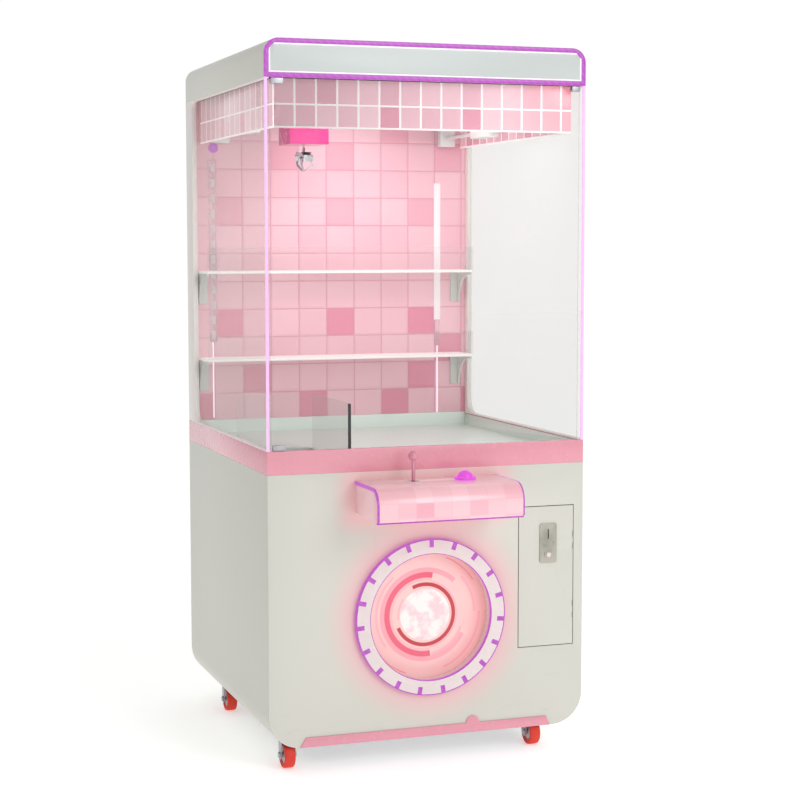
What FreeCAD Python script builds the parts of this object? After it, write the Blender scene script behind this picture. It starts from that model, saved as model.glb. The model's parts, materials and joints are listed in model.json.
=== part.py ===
import FreeCAD, Part
import math
import os

from FreeCAD import Vector

# Claw crane machine.  Millimetres, +X to the player's right, +Y to the rear, +Z up.
# The origin is on the floor, below the middle of the whole footprint (console included).

# ---- overall sizes
WIDTH = 930.0
DEPTH = 955.0            # cabinet, front face to rear face
HEIGHT = 1980.0
CONSOLE_OUT = 202.0      # console in front of the cabinet
SKIRT_Z = 62.0           # underside of the outer panels
BAND_Z = 816.0           # lower edge of the trim band
SILL_Z = 880.0           # top of the trim band
HEAD_Z = 1877.0          # underside of the illuminated head
BOTTOM_R = 90.0
TOP_R = 40.0

# ---- material thicknesses and clearances
SHEET = 2.0
PLATE = 3.0
GLASS = 6.0
GAP = 0.3                # between faces that move past each other or stand off
RUN = 0.05               # radial clearance of a shaft in its hole
DOOR_GAP = 2.0

HALF = WIDTH / 2
FRONT = -(DEPTH + CONSOLE_OUT) / 2 + CONSOLE_OUT
BACK = FRONT + DEPTH

# ---- casters
WHEEL_R = 37.5
TYRE_W = 32.0
TYRE_THICK = 9.0
HUB_W = 28.0
AXLE_R = 5.0
CASTER_LEFT_X = -404.0
CASTER_RIGHT_X = 324.0
CASTER_FRONT_Y = -338.0
CASTER_REAR_Y = 320.0
BRACKET_T = 3.0
BRACKET_LEG = 26.0
CASTER_PLATE = (56.0, 70.0)
BOLT_R = 3.0
BOLT_PITCH_X = 42.0
BOLT_PITCH_Y = 56.0
BOLT_HEAD = 4.0
AXLE_HEAD_R = 8.0
HUB_DISH = 6.0
WELL_GAP = 2.0

# ---- lower body
PAN_Z = 100.0
TUBE = 30.0
TUBE_WALL = 2.0
POST_OUT = 445.0         # outer face of the corner posts from the middle
POST_SET = 16.0          # front posts behind the panel face, clear of the coin door
DECK_Z = 842.0
CABIN_X = 450.0          # inner face of the cabin side walls
CABIN_BACK = 518.0
SILL_IN = 16.0
WINDOW_Z = 884.0
STRIP_TOP = 89.0
STRIP_FOOT_X = (-378.0, 366.0)
STRIP_HEAD_X = (-361.0, 352.0)
BUMP_X = 128.0
BUMP_R = 20.0
INLET_X = (-394.0, -366.0)
INLET_Z = (150.0, 170.0)
INLET_DEEP = 30.0
INLET_WALL = 3.0
INLET_RECESS = 16.0
BLADE_PITCH = 7.0
BLADE = (2.0, 4.0)
BLADE_RISE = 2.0
SUPPLY_X = (-190.0, 10.0)
SUPPLY_Y = (200.0, 310.0)
SUPPLY_TALL = 48.0
BOARD_X = (70.0, 260.0)
BOARD_Y = (190.0, 330.0)
BOARD_RISE = 14.0
BOARD_T = 2.0
BOARD_POST_R = 4.0
BOARD_POST_IN = 8.0
CHIP_FIRST = 20.0
CHIP_PITCH = 40.0
CHIP = (25.0, 30.0, 8.0)
CHIP_Y = 40.0

# ---- prize chute, bin and round door
CHUTE_X = (-413.0, -225.0)
CHUTE_Y = (-342.0, 22.0)
CHUTE_KNEE_Z = 560.0
CHUTE_FOOT_Z = 400.0
CHUTE_HEAD_Z = 640.0
GUARD_T = 5.0
GUARD_TOP = 1001.0
GUARD_EDGE_W = 8.0
GUARD_EDGE_T = 4.0
KNEE_R = 20.0
BIN_HALF = 213.0
BIN_Z = (203.0, 642.0)
DOOR_Z = 401.5
RING_R = 217.0
RING_IN = 180.0
RING_OUT = 15.0          # ring in front of the panel
RING_LED = 3.0
TEETH = 19
TOOTH_W = 13.0
TOOTH_LONG = 20.0
TOOTH_DEEP = 4.0
FLAP_SET = 30.5          # flap face behind the panel face
FLAP_T = 6.0
FLAP_R = 186.0
FLAP_PIN_R = 2.5
FLAP_PIN_UP = 194.0
FLAP_KNUCKLE = 60.0

# ---- control console
CONSOLE_X = (-218.0, 200.0)
CONSOLE_Z = (702.0, 792.0)
CONSOLE_R = 50.0
CONSOLE_FOOT_R = 8.0
CONSOLE_EDGE = 4.0
CONSOLE_LED = 10.0       # width of the light edging on the ends
LED_BAR = 8.0
CONTROL_Y = -446.0
STICK_X = -73.0
STICK_PIVOT_DROP = 18.0
STICK_R = 5.0
STICK_BALL_R = 14.5
STICK_TALL = 84.5
STICK_TAIL = 22.0        # shaft below the pivot
DUST_R = 20.0
TRUNNION_R = 3.0
GIMBAL_WALL = 5.0
GIMBAL_TALL = 12.0
EAR_T = 10.0
EAR_W = 16.0
BEZEL_T = 1.5
BUTTON_X = 78.0
BUTTON_BEZEL_R = 30.0
BUTTON_CAP_R = 22.5
BUTTON_TRAVEL = 5.0
BUTTON_STEM_R = 5.0
BUTTON_BODY_R = 13.0
BUTTON_BEZEL_H = 7.0
BUTTON_DOME = 18.0
BUTTON_NUT = 6.0
BUTTON_DROP = 60.0       # barrel below the console top

# ---- coin door and rear service door
COIN_X = (268.0, 435.0)
COIN_Z = (294.0, 694.0)
COIN_PLATE_X = (331.5, 383.0)
COIN_PLATE_Z = (532.0, 645.0)
COIN_SLOT = (3.2, 28.0)
RETURN_R = 7.0
RETURN_Z = 556.0
SERVICE_X = (-280.0, 280.0)
SERVICE_Z = (182.0, 778.0)
HINGE_PIN_R = 1.2
HINGE_KNUCKLE_R = 2.9
HINGE_LONG = 50.0
HINGE_LEAF = 16.0
PIN_EDGE = 2.0           # hinge pin from the edge of its door
PIN_DEEP = 3.0           # hinge pin behind the face of its door
FLANGE = 10.0            # depth of the stiffening flange of a door
FLANGE_END = 14.0        # flange stops this far from the hinge edge
COIN_PLATE_R = 6.0
COIN_SLOT_DROP = 30.0
BOSS_R = 5.0
BOSS_T = 2.0
CAP_OUT = 5.0
STEM_LESS = 3.0          # button stem radius under its cap radius
STEM_LONG = 18.0
MECH_W = 74.0
MECH_DEEP = 70.0
MECH_LOW = 200.0         # underside of the coin works above the door's lower edge
CASH_IN = 22.0
CASH_DEEP = 180.0
LOCK_R = 9.5
LOCK_LONG = 24.0
LOCK_IN = 40.0
KEYWAY = (2.0, 9.0)
KEYWAY_DEEP = 6.0

# ---- upper body
FRAME_BACK = 81.0        # width of the rear posts of the side windows
WINDOW_LOW_R = 48.0
WINDOW_HIGH_R = 18.0
PANE_SET = 8.0           # panes behind the cabinet faces
WALL_T = 15.0
GLASS_PIVOT_X = -440.0
GLASS_PIVOT_R = 4.0
GLASS_PIVOT_LONG = 12.0
FITTING_TALL = 14.0
FITTING_OUT = 4.0        # fitting in front of and behind the glass
FITTING_PAST = 6.5       # fitting beyond the pivot, clear of the side pane as it turns
FITTING_GRIP = 28.0
FITTING_NOTCH = 12.0
KEEPER_W = 24.0
VALANCE_Y = -346.0
VALANCE_X = 434.0
VALANCE_Z = 1746.0
SHELF_X = (-445.0, 427.0)
SHELF_TOPS = (1353.0, 1082.0)
SHELF_DEEP = 125.0
SHELF_T = 8.0
LIP_T = 4.0
LIP_TALL = 74.0
BRACKET_PLATE_T = 4.0
BRACKET_PLATE_W = 30.0
BRACKET_GUSSET = 6.0
BRACKET_TALL = 96.0
BRACKET_CURVE = 85.0
MARQUEE_EDGE = 12.0
MARQUEE_DEEP = 10.0

# ---- gantry and claw
RAIL_X = 374.0
RAIL_R = 6.0
RAIL_Z = 1776.0
RAIL_Y = (-290.0, 480.0)  # clear run between the rail blocks
RAIL_BLOCK = (50.0, 30.0, 54.0)
CARRIAGE = (50.0, 110.0)
CARRIAGE_DROP = 16.0
CARRIAGE_RISE = 12.0
BRIDGE_R = 5.0
SLEEVE_WALL = 3.0
BRIDGE_Z = 1800.0
BRIDGE_PITCH = 80.0
CRANE_X = -202.0
CRANE_Y = 163.5
TROLLEY = (118.0, 125.0)
TROLLEY_Z = (1729.0, 1832.0)
DRUM_R = 18.0
DRUM_LONG = 16.0
DRUM_FLANGE = 2.0
DRUM_CHEEK = 3.0
DRUM_AXLE_R = 3.0
DRUM_AXLE = (24.0, 20.0)  # axle before and after the cord line
DRUM_Z = 1780.0
MOTOR_R = 15.0
MOTOR_END = 14.0
MOTOR_FOOT_W = 12.0
BEARING = (6.0, 14.0)
BEARING_RISE = 7.0
OUTLET_GAP = 3.0
CORD_R = 1.5
CLAW_TOP = 1722.0
COLLAR_R = 23.0
COLLAR_Z = (1700.0, 1708.0)
CLAW_BODY_R = 28.0
CLAW_BODY_Z = 1680.0
ARM_PIVOT_R = 22.0
ARM_PIVOT_Z = 1687.0
ARM_TIP_Z = 1650.0
ARM_T = 6.0
ARM_PIN_R = 1.6
ARM_TIP_R = 4.0
ARM_WIDE = 6.5
ARM_HEAD = 4.0
ARM_BEND = (2.0, 18.0, 8.0)
ARM_CROOK = (16.0, 6.0)
ARM_HEAD_R = 3.2
ARM_TOE = 3.0
ARMS = 3
NECK_R = 4.0
CLAW_CORE_R = 16.0
CLAW_CAP = 6.0
CHEEK_T = 2.5
CHEEK_IN = 4.0


# ---- building blocks
def box(x, y, z):
    """Block between the (low, high) pairs x, y and z."""
    size = (x[1] - x[0], y[1] - y[0], z[1] - z[0])
    return Part.makeBox(*size, Vector(x[0], y[0], z[0]))


def around(middle, size):
    """(low, high) pair of the given size about a middle."""
    return (middle - size / 2, middle + size / 2)


AXES = {"x": Vector(1, 0, 0), "y": Vector(0, 1, 0), "z": Vector(0, 0, 1)}


def rod(axis, start, radius, length):
    """Cylinder from start along +axis."""
    return Part.makeCylinder(radius, length, Vector(*start), AXES[axis])


def ring(axis, start, outer, inner, length):
    """Hollow cylinder from start along +axis."""
    return rod(axis, start, outer, length).cut(rod(axis, start, inner, length))


def corner_arc(before, here, after, radius):
    """Start, middle and end of the fillet of one corner."""
    to_before = (before - here).normalize()
    to_after = (after - here).normalize()
    if radius == 0:
        return here, None, here
    half = to_before.getAngle(to_after) / 2
    reach = radius / math.tan(half)
    centre = here + (to_before + to_after).normalize() * (radius / math.sin(half))
    middle = centre + (here - centre).normalize() * radius
    return here + to_before * reach, middle, here + to_after * reach


def profile(corners, normal, span):
    """Prism with (u, v, radius) corners; u, v are the two axes other than the normal."""
    place = {
        "x": lambda p: Vector(span[0], p.x, p.y),
        "y": lambda p: Vector(p.x, span[0], p.y),
        "z": lambda p: Vector(p.x, p.y, span[0]),
    }[normal]
    flat = [Vector(u, v, 0) for u, v, _ in corners]
    count = len(corners)
    bends = []
    for i in range(count):
        bends.append(corner_arc(flat[i - 1], flat[i], flat[(i + 1) % count], corners[i][2]))
    edges = []
    for i in range(count):
        start, middle, end = bends[i]
        if middle is not None:
            edges.append(Part.Arc(place(start), place(middle), place(end)).toShape())
        following = bends[(i + 1) % count][0]
        if (following - end).Length > 1e-6:
            edges.append(Part.makeLine(place(end), place(following)))
    face = Part.Face(Part.Wire(edges))
    return face.extrude(AXES[normal] * (span[1] - span[0]))


def fuse(shapes):
    """One solid from shapes that touch or overlap."""
    return shapes[0].fuse(shapes[1:]).removeSplitter()


def mirror_x(shape):
    return shape.mirror(Vector(0, 0, 0), Vector(1, 0, 0))


def save(node, *solids):
    """Write one node; each solid is a separate piece in it."""
    shape = solids[0] if len(solids) == 1 else Part.makeCompound(list(solids))
    if not shape.isValid():
        raise ValueError(node + " is not a valid shape")
    shape.exportStep("parts/" + node + ".step")


# ---- base, casters and frame
PAN_TOP = PAN_Z + PLATE
CASTERS = {
    "front_left": (CASTER_LEFT_X, CASTER_FRONT_Y),
    "front_right": (CASTER_RIGHT_X, CASTER_FRONT_Y),
    "rear_left": (CASTER_LEFT_X, CASTER_REAR_Y),
    "rear_right": (CASTER_RIGHT_X, CASTER_REAR_Y),
}
LEG_IN = TYRE_W / 2 + 2


def bolt_places():
    """Four bolts round each caster, kept inside the base pan."""
    for x, y in CASTERS.values():
        for side_x in (-1, 1):
            for side_y in (-1, 1):
                yield (x + side_x * BOLT_PITCH_X / 2, y + side_y * BOLT_PITCH_Y / 2)


def build_base():
    rise = BOTTOM_R + SKIRT_Z - PAN_Z
    inner_r = BOTTOM_R - SHEET
    half = HALF - BOTTOM_R + math.sqrt(inner_r ** 2 - rise ** 2) - GAP
    pan = box((-half, half), (FRONT + SHEET, BACK - SHEET), (PAN_Z, PAN_TOP))
    for x, y in bolt_places():
        pan = pan.cut(rod("z", (x, y, PAN_Z), BOLT_R, PLATE))
    save("base_pan", pan)


def caster_bracket(x, y):
    """Plate with two legs that carry the axle."""
    plate = box(around(x, CASTER_PLATE[0]), around(y, CASTER_PLATE[1]),
                (PAN_Z - BRACKET_T, PAN_Z))
    pieces = [plate]
    for side in (-1, 1):
        leg_x = sorted((x + side * LEG_IN, x + side * (LEG_IN + BRACKET_T)))
        leg_z = (WHEEL_R, PAN_Z - BRACKET_T)
        pieces.append(box(leg_x, around(y, BRACKET_LEG), leg_z))
        pieces.append(rod("x", (leg_x[0], y, WHEEL_R), BRACKET_LEG / 2, BRACKET_T))
    bracket = fuse(pieces)
    bracket = bracket.cut(rod("x", (x - TYRE_W, y, WHEEL_R), AXLE_R, 2 * TYRE_W))
    for bolt_x, bolt_y in bolt_places():
        bracket = bracket.cut(rod("z", (bolt_x, bolt_y, PAN_Z - BRACKET_T), BOLT_R, BRACKET_T))
    return bracket


def build_casters():
    end = LEG_IN + BRACKET_T
    solids = []
    for x, y in CASTERS.values():
        solids.append(caster_bracket(x, y))
        axle = rod("x", (x - end, y, WHEEL_R), AXLE_R, 2 * end)
        for side in (-1, 1):
            start = min(side * end, side * (end + BOLT_HEAD))
            axle = axle.fuse(rod("x", (x + start, y, WHEEL_R), AXLE_HEAD_R, BOLT_HEAD))
        solids.append(axle.removeSplitter())
    for x, y in bolt_places():
        low = PAN_Z - BRACKET_T
        shank = rod("z", (x, y, low), BOLT_R, PAN_TOP - low)
        head = rod("z", (x, y, low - BOLT_HEAD), BOLT_R + 2, BOLT_HEAD)
        solids.append(fuse([head, shank]))
    save("caster_brackets", *solids)
    for name, (x, y) in CASTERS.items():
        tyre_in = WHEEL_R - TYRE_THICK
        tyre = ring("x", (x - TYRE_W / 2, y, WHEEL_R), WHEEL_R, tyre_in, TYRE_W)
        rims = [edge for edge in tyre.Edges
                if edge.BoundBox.ZLength > 2 * WHEEL_R - 1 and edge.BoundBox.XLength < 1]
        tyre = tyre.makeFillet(TYRE_THICK / 2, rims)
        hub = ring("x", (x - HUB_W / 2, y, WHEEL_R), tyre_in, AXLE_R + RUN, HUB_W)
        for side in (-1, 1):
            face = HUB_W / 2 - HUB_DISH
            start = min(side * face, side * HUB_W)
            dish = ring("x", (x + start, y, WHEEL_R), tyre_in - 5, AXLE_R + 6, HUB_W - face)
            hub = hub.cut(dish)
        save("wheel_" + name, tyre, hub)


def square_tube(x, y, z):
    """Hollow square tube along its longest side."""
    spans = [x, y, z]
    lengths = [span[1] - span[0] for span in spans]
    along = lengths.index(max(lengths))
    inner = []
    for i, span in enumerate(spans):
        wall = 0 if i == along else TUBE_WALL
        inner.append((span[0] + wall, span[1] - wall))
    return box(*spans).cut(box(*inner))


def build_frame():
    post_x = (POST_OUT - TUBE, POST_OUT)
    front = (FRONT + POST_SET, FRONT + POST_SET + TUBE)
    beam = (FRONT + SHEET, FRONT + SHEET + TUBE)
    rear = (BACK - SHEET - TUBE, BACK - SHEET)
    top = (DECK_Z - PLATE - TUBE, DECK_Z - PLATE)
    low = (PAN_TOP, PAN_TOP + TUBE)
    tubes = []
    for side in (-1, 1):
        x = sorted((side * post_x[0], side * post_x[1]))
        for y in (front, rear):
            tubes.append(square_tube(x, y, (PAN_TOP, top[0])))
        tubes.append(square_tube(x, (beam[0], rear[1]), top))
        tubes.append(square_tube(x, (front[1], rear[0]), low))
    for y in (beam, rear):
        tubes.append(square_tube((-post_x[0], post_x[0]), y, top))
    save("cabinet_frame", *tubes)


# ---- outer panels
def skirt_outline(top):
    """Front or rear panel outline with the two round lower corners."""
    return [(-HALF, top, 0), (-HALF, SKIRT_Z, BOTTOM_R), (HALF, SKIRT_Z, BOTTOM_R),
            (HALF, top, 0)]


def build_panels():
    lip_in = HALF - BOTTOM_R - 15
    section = [(-HALF, BAND_Z, 0), (-HALF, SKIRT_Z, BOTTOM_R), (-lip_in, SKIRT_Z, 0),
               (-lip_in, SKIRT_Z + SHEET, 0),
               (-HALF + SHEET, SKIRT_Z + SHEET, BOTTOM_R - SHEET), (-HALF + SHEET, BAND_Z, 0)]
    left = profile(section, "y", (FRONT + SHEET, BACK - SHEET))
    right = mirror_x(left)
    for x, y in CASTERS.values():
        well_x = around(x, 2 * (LEG_IN + BRACKET_T + BOLT_HEAD + WELL_GAP))
        well = box(well_x, around(y, 2 * WHEEL_R + 10), (SKIRT_Z - 1, PAN_Z - BRACKET_T))
        left = left.cut(well)
        right = right.cut(well)
    save("side_panels", left, right)

    front = profile(skirt_outline(BAND_Z), "y", (FRONT, FRONT + SHEET))
    front = front.cut(rod("y", (0, FRONT, DOOR_Z), RING_IN + SHEET, SHEET))
    coin_x = (COIN_X[0] - DOOR_GAP, COIN_X[1] + DOOR_GAP)
    coin_z = (COIN_Z[0] - DOOR_GAP, COIN_Z[1] + DOOR_GAP)
    front = front.cut(box(coin_x, (FRONT, FRONT + SHEET), coin_z))
    wiring_x = (CONSOLE_X[0] + 60, CONSOLE_X[1] - 60)
    wiring_z = (CONSOLE_Z[0] + 15, CONSOLE_Z[1] - 15)
    front = front.cut(box(wiring_x, (FRONT, FRONT + SHEET), wiring_z))
    save("front_panel", front)

    rear_y = (BACK - SHEET, BACK)
    rear = profile(skirt_outline(SILL_Z), "y", rear_y)
    door_x = (SERVICE_X[0] - DOOR_GAP, SERVICE_X[1] + DOOR_GAP)
    door_z = (SERVICE_Z[0] - DOOR_GAP, SERVICE_Z[1] + DOOR_GAP)
    rear = rear.cut(box(door_x, rear_y, door_z))
    rear = rear.cut(box(INLET_X, rear_y, INLET_Z))
    cover = box((-CABIN_X, CABIN_X), rear_y, (SILL_Z, HEAD_Z))
    save("rear_panels", rear, cover)


def base_strip():
    """Strip along the foot of the front panel, with its half-round bump."""
    strip_y = (FRONT - PLATE, FRONT)
    strip = profile([(STRIP_FOOT_X[0], SKIRT_Z, 0), (STRIP_FOOT_X[1], SKIRT_Z, 0),
                     (STRIP_HEAD_X[1], STRIP_TOP, 0), (STRIP_HEAD_X[0], STRIP_TOP, 0)],
                    "y", strip_y)
    bump = rod("y", (BUMP_X, strip_y[0], STRIP_TOP), BUMP_R, PLATE)
    bump = bump.common(box(around(BUMP_X, 3 * BUMP_R), strip_y, (STRIP_TOP, HEIGHT)))
    return fuse([strip, bump])


def build_trim_band():
    """Band round the front and sides, with an inward sill at its top."""
    end = BACK - SHEET
    outer = box((-HALF, HALF), (FRONT, end), (BAND_Z, SILL_Z))
    inner_x = HALF - SHEET
    band = outer.cut(box((-inner_x, inner_x), (FRONT + SHEET, end), (BAND_Z, SILL_Z - PLATE)))
    opening = box((-CABIN_X, CABIN_X), (FRONT + SILL_IN, end), (SILL_Z - PLATE, SILL_Z))
    save("pink_trim", band.cut(opening), base_strip())


# ---- playfield, chute and bin
def build_playfield():
    """Floor plate with the chute's hole, and a low upstand strip along each of its four edges."""
    front = FRONT + SILL_IN - PLATE
    floor_z = (DECK_Z - PLATE, DECK_Z)
    strip_z = (DECK_Z - PLATE, SILL_Z - PLATE)
    hole_x = (CHUTE_X[0] + SHEET, CHUTE_X[1] - SHEET)
    hole_y = (CHUTE_Y[0] + SHEET, CHUTE_Y[1] - SHEET)
    floor = box((-CABIN_X, CABIN_X), (front + PLATE, CABIN_BACK), floor_z)
    floor = floor.cut(box(hole_x, hole_y, floor_z))
    sides = [box(x, (front, CABIN_BACK + PLATE), strip_z)
             for x in ((-CABIN_X - PLATE, -CABIN_X), (CABIN_X, CABIN_X + PLATE))]
    near = box((-CABIN_X, CABIN_X), (front, front + PLATE), strip_z)
    far = box((-CABIN_X, CABIN_X), (CABIN_BACK, CABIN_BACK + PLATE), (floor_z[0], WINDOW_Z))
    save("playfield_tray", floor, *sides, near, far)

    guard_x = (CHUTE_X[1], CHUTE_X[1] + GUARD_T)
    guard_y = (CHUTE_Y[1], CHUTE_Y[1] + GUARD_T)
    guard_z = (DECK_Z, GUARD_TOP)
    rear = box((-CABIN_X + PLATE, guard_x[1]), guard_y, guard_z)
    side = box(guard_x, (CHUTE_Y[0], guard_y[0]), guard_z)
    save("chute_guard", fuse([rear, side]))
    edge_x = around(CHUTE_X[1] + GUARD_T / 2, GUARD_EDGE_W)
    edge = box(edge_x, (CHUTE_Y[0] - GUARD_EDGE_T, CHUTE_Y[0]), guard_z)
    save("chute_guard_edge", edge)


def build_chute_and_bin():
    x_low, x_high = CHUTE_X
    outer = [(x_low, DECK_Z - PLATE, 0), (x_low, CHUTE_KNEE_Z, KNEE_R), (-BIN_HALF, CHUTE_FOOT_Z, 0),
             (-BIN_HALF, CHUTE_HEAD_Z, 0), (x_high, CHUTE_HEAD_Z, 0), (x_high, DECK_Z - PLATE, 0)]
    slope = SHEET * 1.3
    inner = [(x_low + SHEET, DECK_Z, 0), (x_low + SHEET, CHUTE_KNEE_Z + SHEET, KNEE_R - SHEET),
             (-BIN_HALF, CHUTE_FOOT_Z + slope, 0), (-BIN_HALF, CHUTE_HEAD_Z - SHEET, 0),
             (x_high - SHEET, CHUTE_HEAD_Z - SHEET, 0), (x_high - SHEET, DECK_Z, 0)]
    inner_y = (CHUTE_Y[0] + SHEET, CHUTE_Y[1] - SHEET)
    duct = profile(outer, "y", CHUTE_Y).cut(profile(inner, "y", inner_y))
    save("prize_chute", duct)

    bin_y = (FRONT + SHEET, CHUTE_Y[1])
    shell = box((-BIN_HALF, BIN_HALF), bin_y, BIN_Z)
    space_x = (-BIN_HALF + SHEET, BIN_HALF - SHEET)
    space = box(space_x, (bin_y[0], bin_y[1] - SHEET), (BIN_Z[0] + SHEET, BIN_Z[1] - SHEET))
    mouth = box((-BIN_HALF, 0), inner_y, (CHUTE_FOOT_Z + slope, CHUTE_HEAD_Z - SHEET))
    save("prize_bin", shell.cut(space).cut(mouth))


FLAP_Y = (FRONT + FLAP_SET, FRONT + FLAP_SET + FLAP_T)
FLAP_PIN_Y = FRONT + FLAP_SET + FLAP_T / 2
FLAP_PIN_Z = DOOR_Z + FLAP_PIN_UP


def build_round_door():
    face = FRONT - RING_OUT
    sleeve = FLAP_Y[0] - GAP - face
    body = ring("y", (0, face, DOOR_Z), RING_R, RING_IN, RING_OUT)
    body = body.fuse(ring("y", (0, face, DOOR_Z), RING_IN + SHEET, RING_IN, sleeve))
    hoop = ring("y", (0, face, DOOR_Z), RING_R + RING_LED, RING_R, RING_OUT)
    teeth = []
    for i in range(TEETH):
        tooth_z = (DOOR_Z + RING_R - TOOTH_LONG, DOOR_Z + RING_R + RING_LED / 2)
        tooth = box(around(0, TOOTH_W), (face, face + TOOTH_DEEP), tooth_z)
        tooth.rotate(Vector(0, 0, DOOR_Z), AXES["y"], 360.0 / TEETH * i)
        teeth.append(tooth)
    body = body.cut(teeth).removeSplitter()
    save("prize_ring", body)
    inner_hoop = ring("y", (0, face, DOOR_Z), RING_IN, RING_IN - SHEET, RING_OUT - PLATE)
    save("prize_ring_led", fuse([hoop] + teeth), inner_hoop)

    disc = rod("y", (0, FLAP_Y[0], DOOR_Z), FLAP_R, FLAP_T)
    tab = box((-FLAP_KNUCKLE, FLAP_KNUCKLE), FLAP_Y, (DOOR_Z + FLAP_R * 0.9, FLAP_PIN_Z))
    barrel = rod("x", (-FLAP_KNUCKLE, FLAP_PIN_Y, FLAP_PIN_Z), FLAP_T / 2 + 2, 2 * FLAP_KNUCKLE)
    bore = rod("x", (-FLAP_KNUCKLE, FLAP_PIN_Y, FLAP_PIN_Z), FLAP_PIN_R + RUN, 2 * FLAP_KNUCKLE)
    save("prize_flap", fuse([disc, tab, barrel]).cut(bore))


def flap_hinge():
    """Pin of the round door and the two ears that hold it behind the front panel."""
    ear_in = FLAP_KNUCKLE + GAP
    ear_t = 2 * PLATE
    pin = rod("x", (-ear_in - ear_t, FLAP_PIN_Y, FLAP_PIN_Z), FLAP_PIN_R, 2 * (ear_in + ear_t))
    solids = [pin]
    for side in (-1, 1):
        x = sorted((side * ear_in, side * (ear_in + ear_t)))
        ear = box(x, (FRONT + SHEET, FLAP_Y[1]), around(FLAP_PIN_Z, 14))
        solids.append(ear.cut(rod("x", (x[0], FLAP_PIN_Y, FLAP_PIN_Z), FLAP_PIN_R, ear_t)))
    return solids


# ---- console, joystick and button
CONSOLE_Y = (FRONT - CONSOLE_OUT, FRONT)
CONSOLE_TOP = CONSOLE_Z[1]


def console_outline(inset):
    """Console section; inset moves every outer face inwards."""
    front = CONSOLE_Y[0] + inset
    return [(CONSOLE_Y[1], CONSOLE_Z[0] + inset, 0),
            (front, CONSOLE_Z[0] + inset, CONSOLE_FOOT_R - inset / 2),
            (front, CONSOLE_TOP - inset, CONSOLE_R - inset),
            (CONSOLE_Y[1], CONSOLE_TOP - inset, 0)]


def build_console():
    x = (CONSOLE_X[0] + CONSOLE_EDGE, CONSOLE_X[1] - CONSOLE_EDGE)
    shell = profile(console_outline(0), "x", x)
    space = profile(console_outline(PLATE), "x", (x[0] + PLATE, x[1] - PLATE))
    shell = shell.cut(space)
    top = (CONTROL_Y, CONSOLE_TOP - PLATE)
    shell = shell.cut(rod("z", (STICK_X,) + top, DUST_R - GIMBAL_WALL, PLATE))
    shell = shell.cut(rod("z", (BUTTON_X,) + top, BUTTON_BODY_R + RUN, PLATE))
    save("console_shell", shell)

    band_y = CONSOLE_Y[0] + CONSOLE_LED
    band_z = CONSOLE_Z[0] + CONSOLE_LED
    ends = []
    for end in ((CONSOLE_X[0], x[0]), (x[1], CONSOLE_X[1])):
        edge = profile(console_outline(0), "x", end)
        edge = edge.cut(profile(console_outline(CONSOLE_LED), "x", end))
        under = box(end, (band_y, CONSOLE_Y[1]), (CONSOLE_Z[0], band_z))
        ends.append(edge.cut(under))
    bar_y = (CONSOLE_Y[0] + CONSOLE_FOOT_R, CONSOLE_Y[0] + CONSOLE_FOOT_R + LED_BAR)
    bar = box(CONSOLE_X, bar_y, (CONSOLE_Z[0] - CONSOLE_EDGE, CONSOLE_Z[0]))
    save("console_led", *ends, bar)


STICK_PIVOT = CONSOLE_TOP - STICK_PIVOT_DROP
GIMBAL_IN = DUST_R + 1.5
GIMBAL_OUT = GIMBAL_IN + GIMBAL_WALL
EAR_X = (GIMBAL_OUT + 2, GIMBAL_OUT + 2 + EAR_T)


def build_joystick():
    centre = Vector(STICK_X, CONTROL_Y, STICK_PIVOT)
    underside = CONSOLE_TOP - PLATE
    solids = []
    bezel_at = (STICK_X, CONTROL_Y, CONSOLE_TOP)
    bezel_in = DUST_R - GIMBAL_WALL + 1
    solids.append(ring("z", bezel_at, DUST_R + GIMBAL_WALL, bezel_in, BEZEL_T))
    for side in (-1, 1):
        x = sorted((STICK_X + side * EAR_X[0], STICK_X + side * EAR_X[1]))
        ear = box(x, around(CONTROL_Y, EAR_W), (STICK_PIVOT - EAR_W / 2, underside))
        bore = rod("x", (x[0], CONTROL_Y, STICK_PIVOT), TRUNNION_R + RUN, x[1] - x[0])
        solids.append(ear.cut(bore))
    save("joystick_base", *solids)

    low = STICK_PIVOT - GIMBAL_TALL / 2
    gimbal = ring("z", (STICK_X, CONTROL_Y, low), GIMBAL_OUT, GIMBAL_IN, GIMBAL_TALL)
    for side in (-1, 1):
        start = min(side * (GIMBAL_OUT - 1), side * EAR_X[1])
        reach = EAR_X[1] - GIMBAL_OUT + 1
        pin = rod("x", (STICK_X + start, CONTROL_Y, STICK_PIVOT), TRUNNION_R, reach)
        gimbal = gimbal.fuse(pin)
    cross_at = (STICK_X, CONTROL_Y - GIMBAL_OUT, STICK_PIVOT)
    gimbal = gimbal.cut(rod("y", cross_at, TRUNNION_R + RUN, 2 * GIMBAL_OUT))
    save("joystick_gimbal", gimbal.removeSplitter())

    dome = Part.makeSphere(DUST_R, centre)
    keep = box(around(STICK_X, 3 * DUST_R), around(CONTROL_Y, 3 * DUST_R),
               (STICK_PIVOT - 4, HEIGHT))
    ball_z = CONSOLE_TOP + STICK_TALL - STICK_BALL_R
    tail = STICK_PIVOT - STICK_TAIL
    shaft = rod("z", (STICK_X, CONTROL_Y, tail), STICK_R, ball_z - STICK_BALL_R + 3 - tail)
    cross = rod("y", cross_at, TRUNNION_R, 2 * GIMBAL_OUT)
    save("joystick_stick", fuse([dome.common(keep), shaft, cross]))
    ball = Part.makeSphere(STICK_BALL_R, Vector(STICK_X, CONTROL_Y, ball_z))
    save("joystick_ball", ball.cut(shaft))


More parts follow.
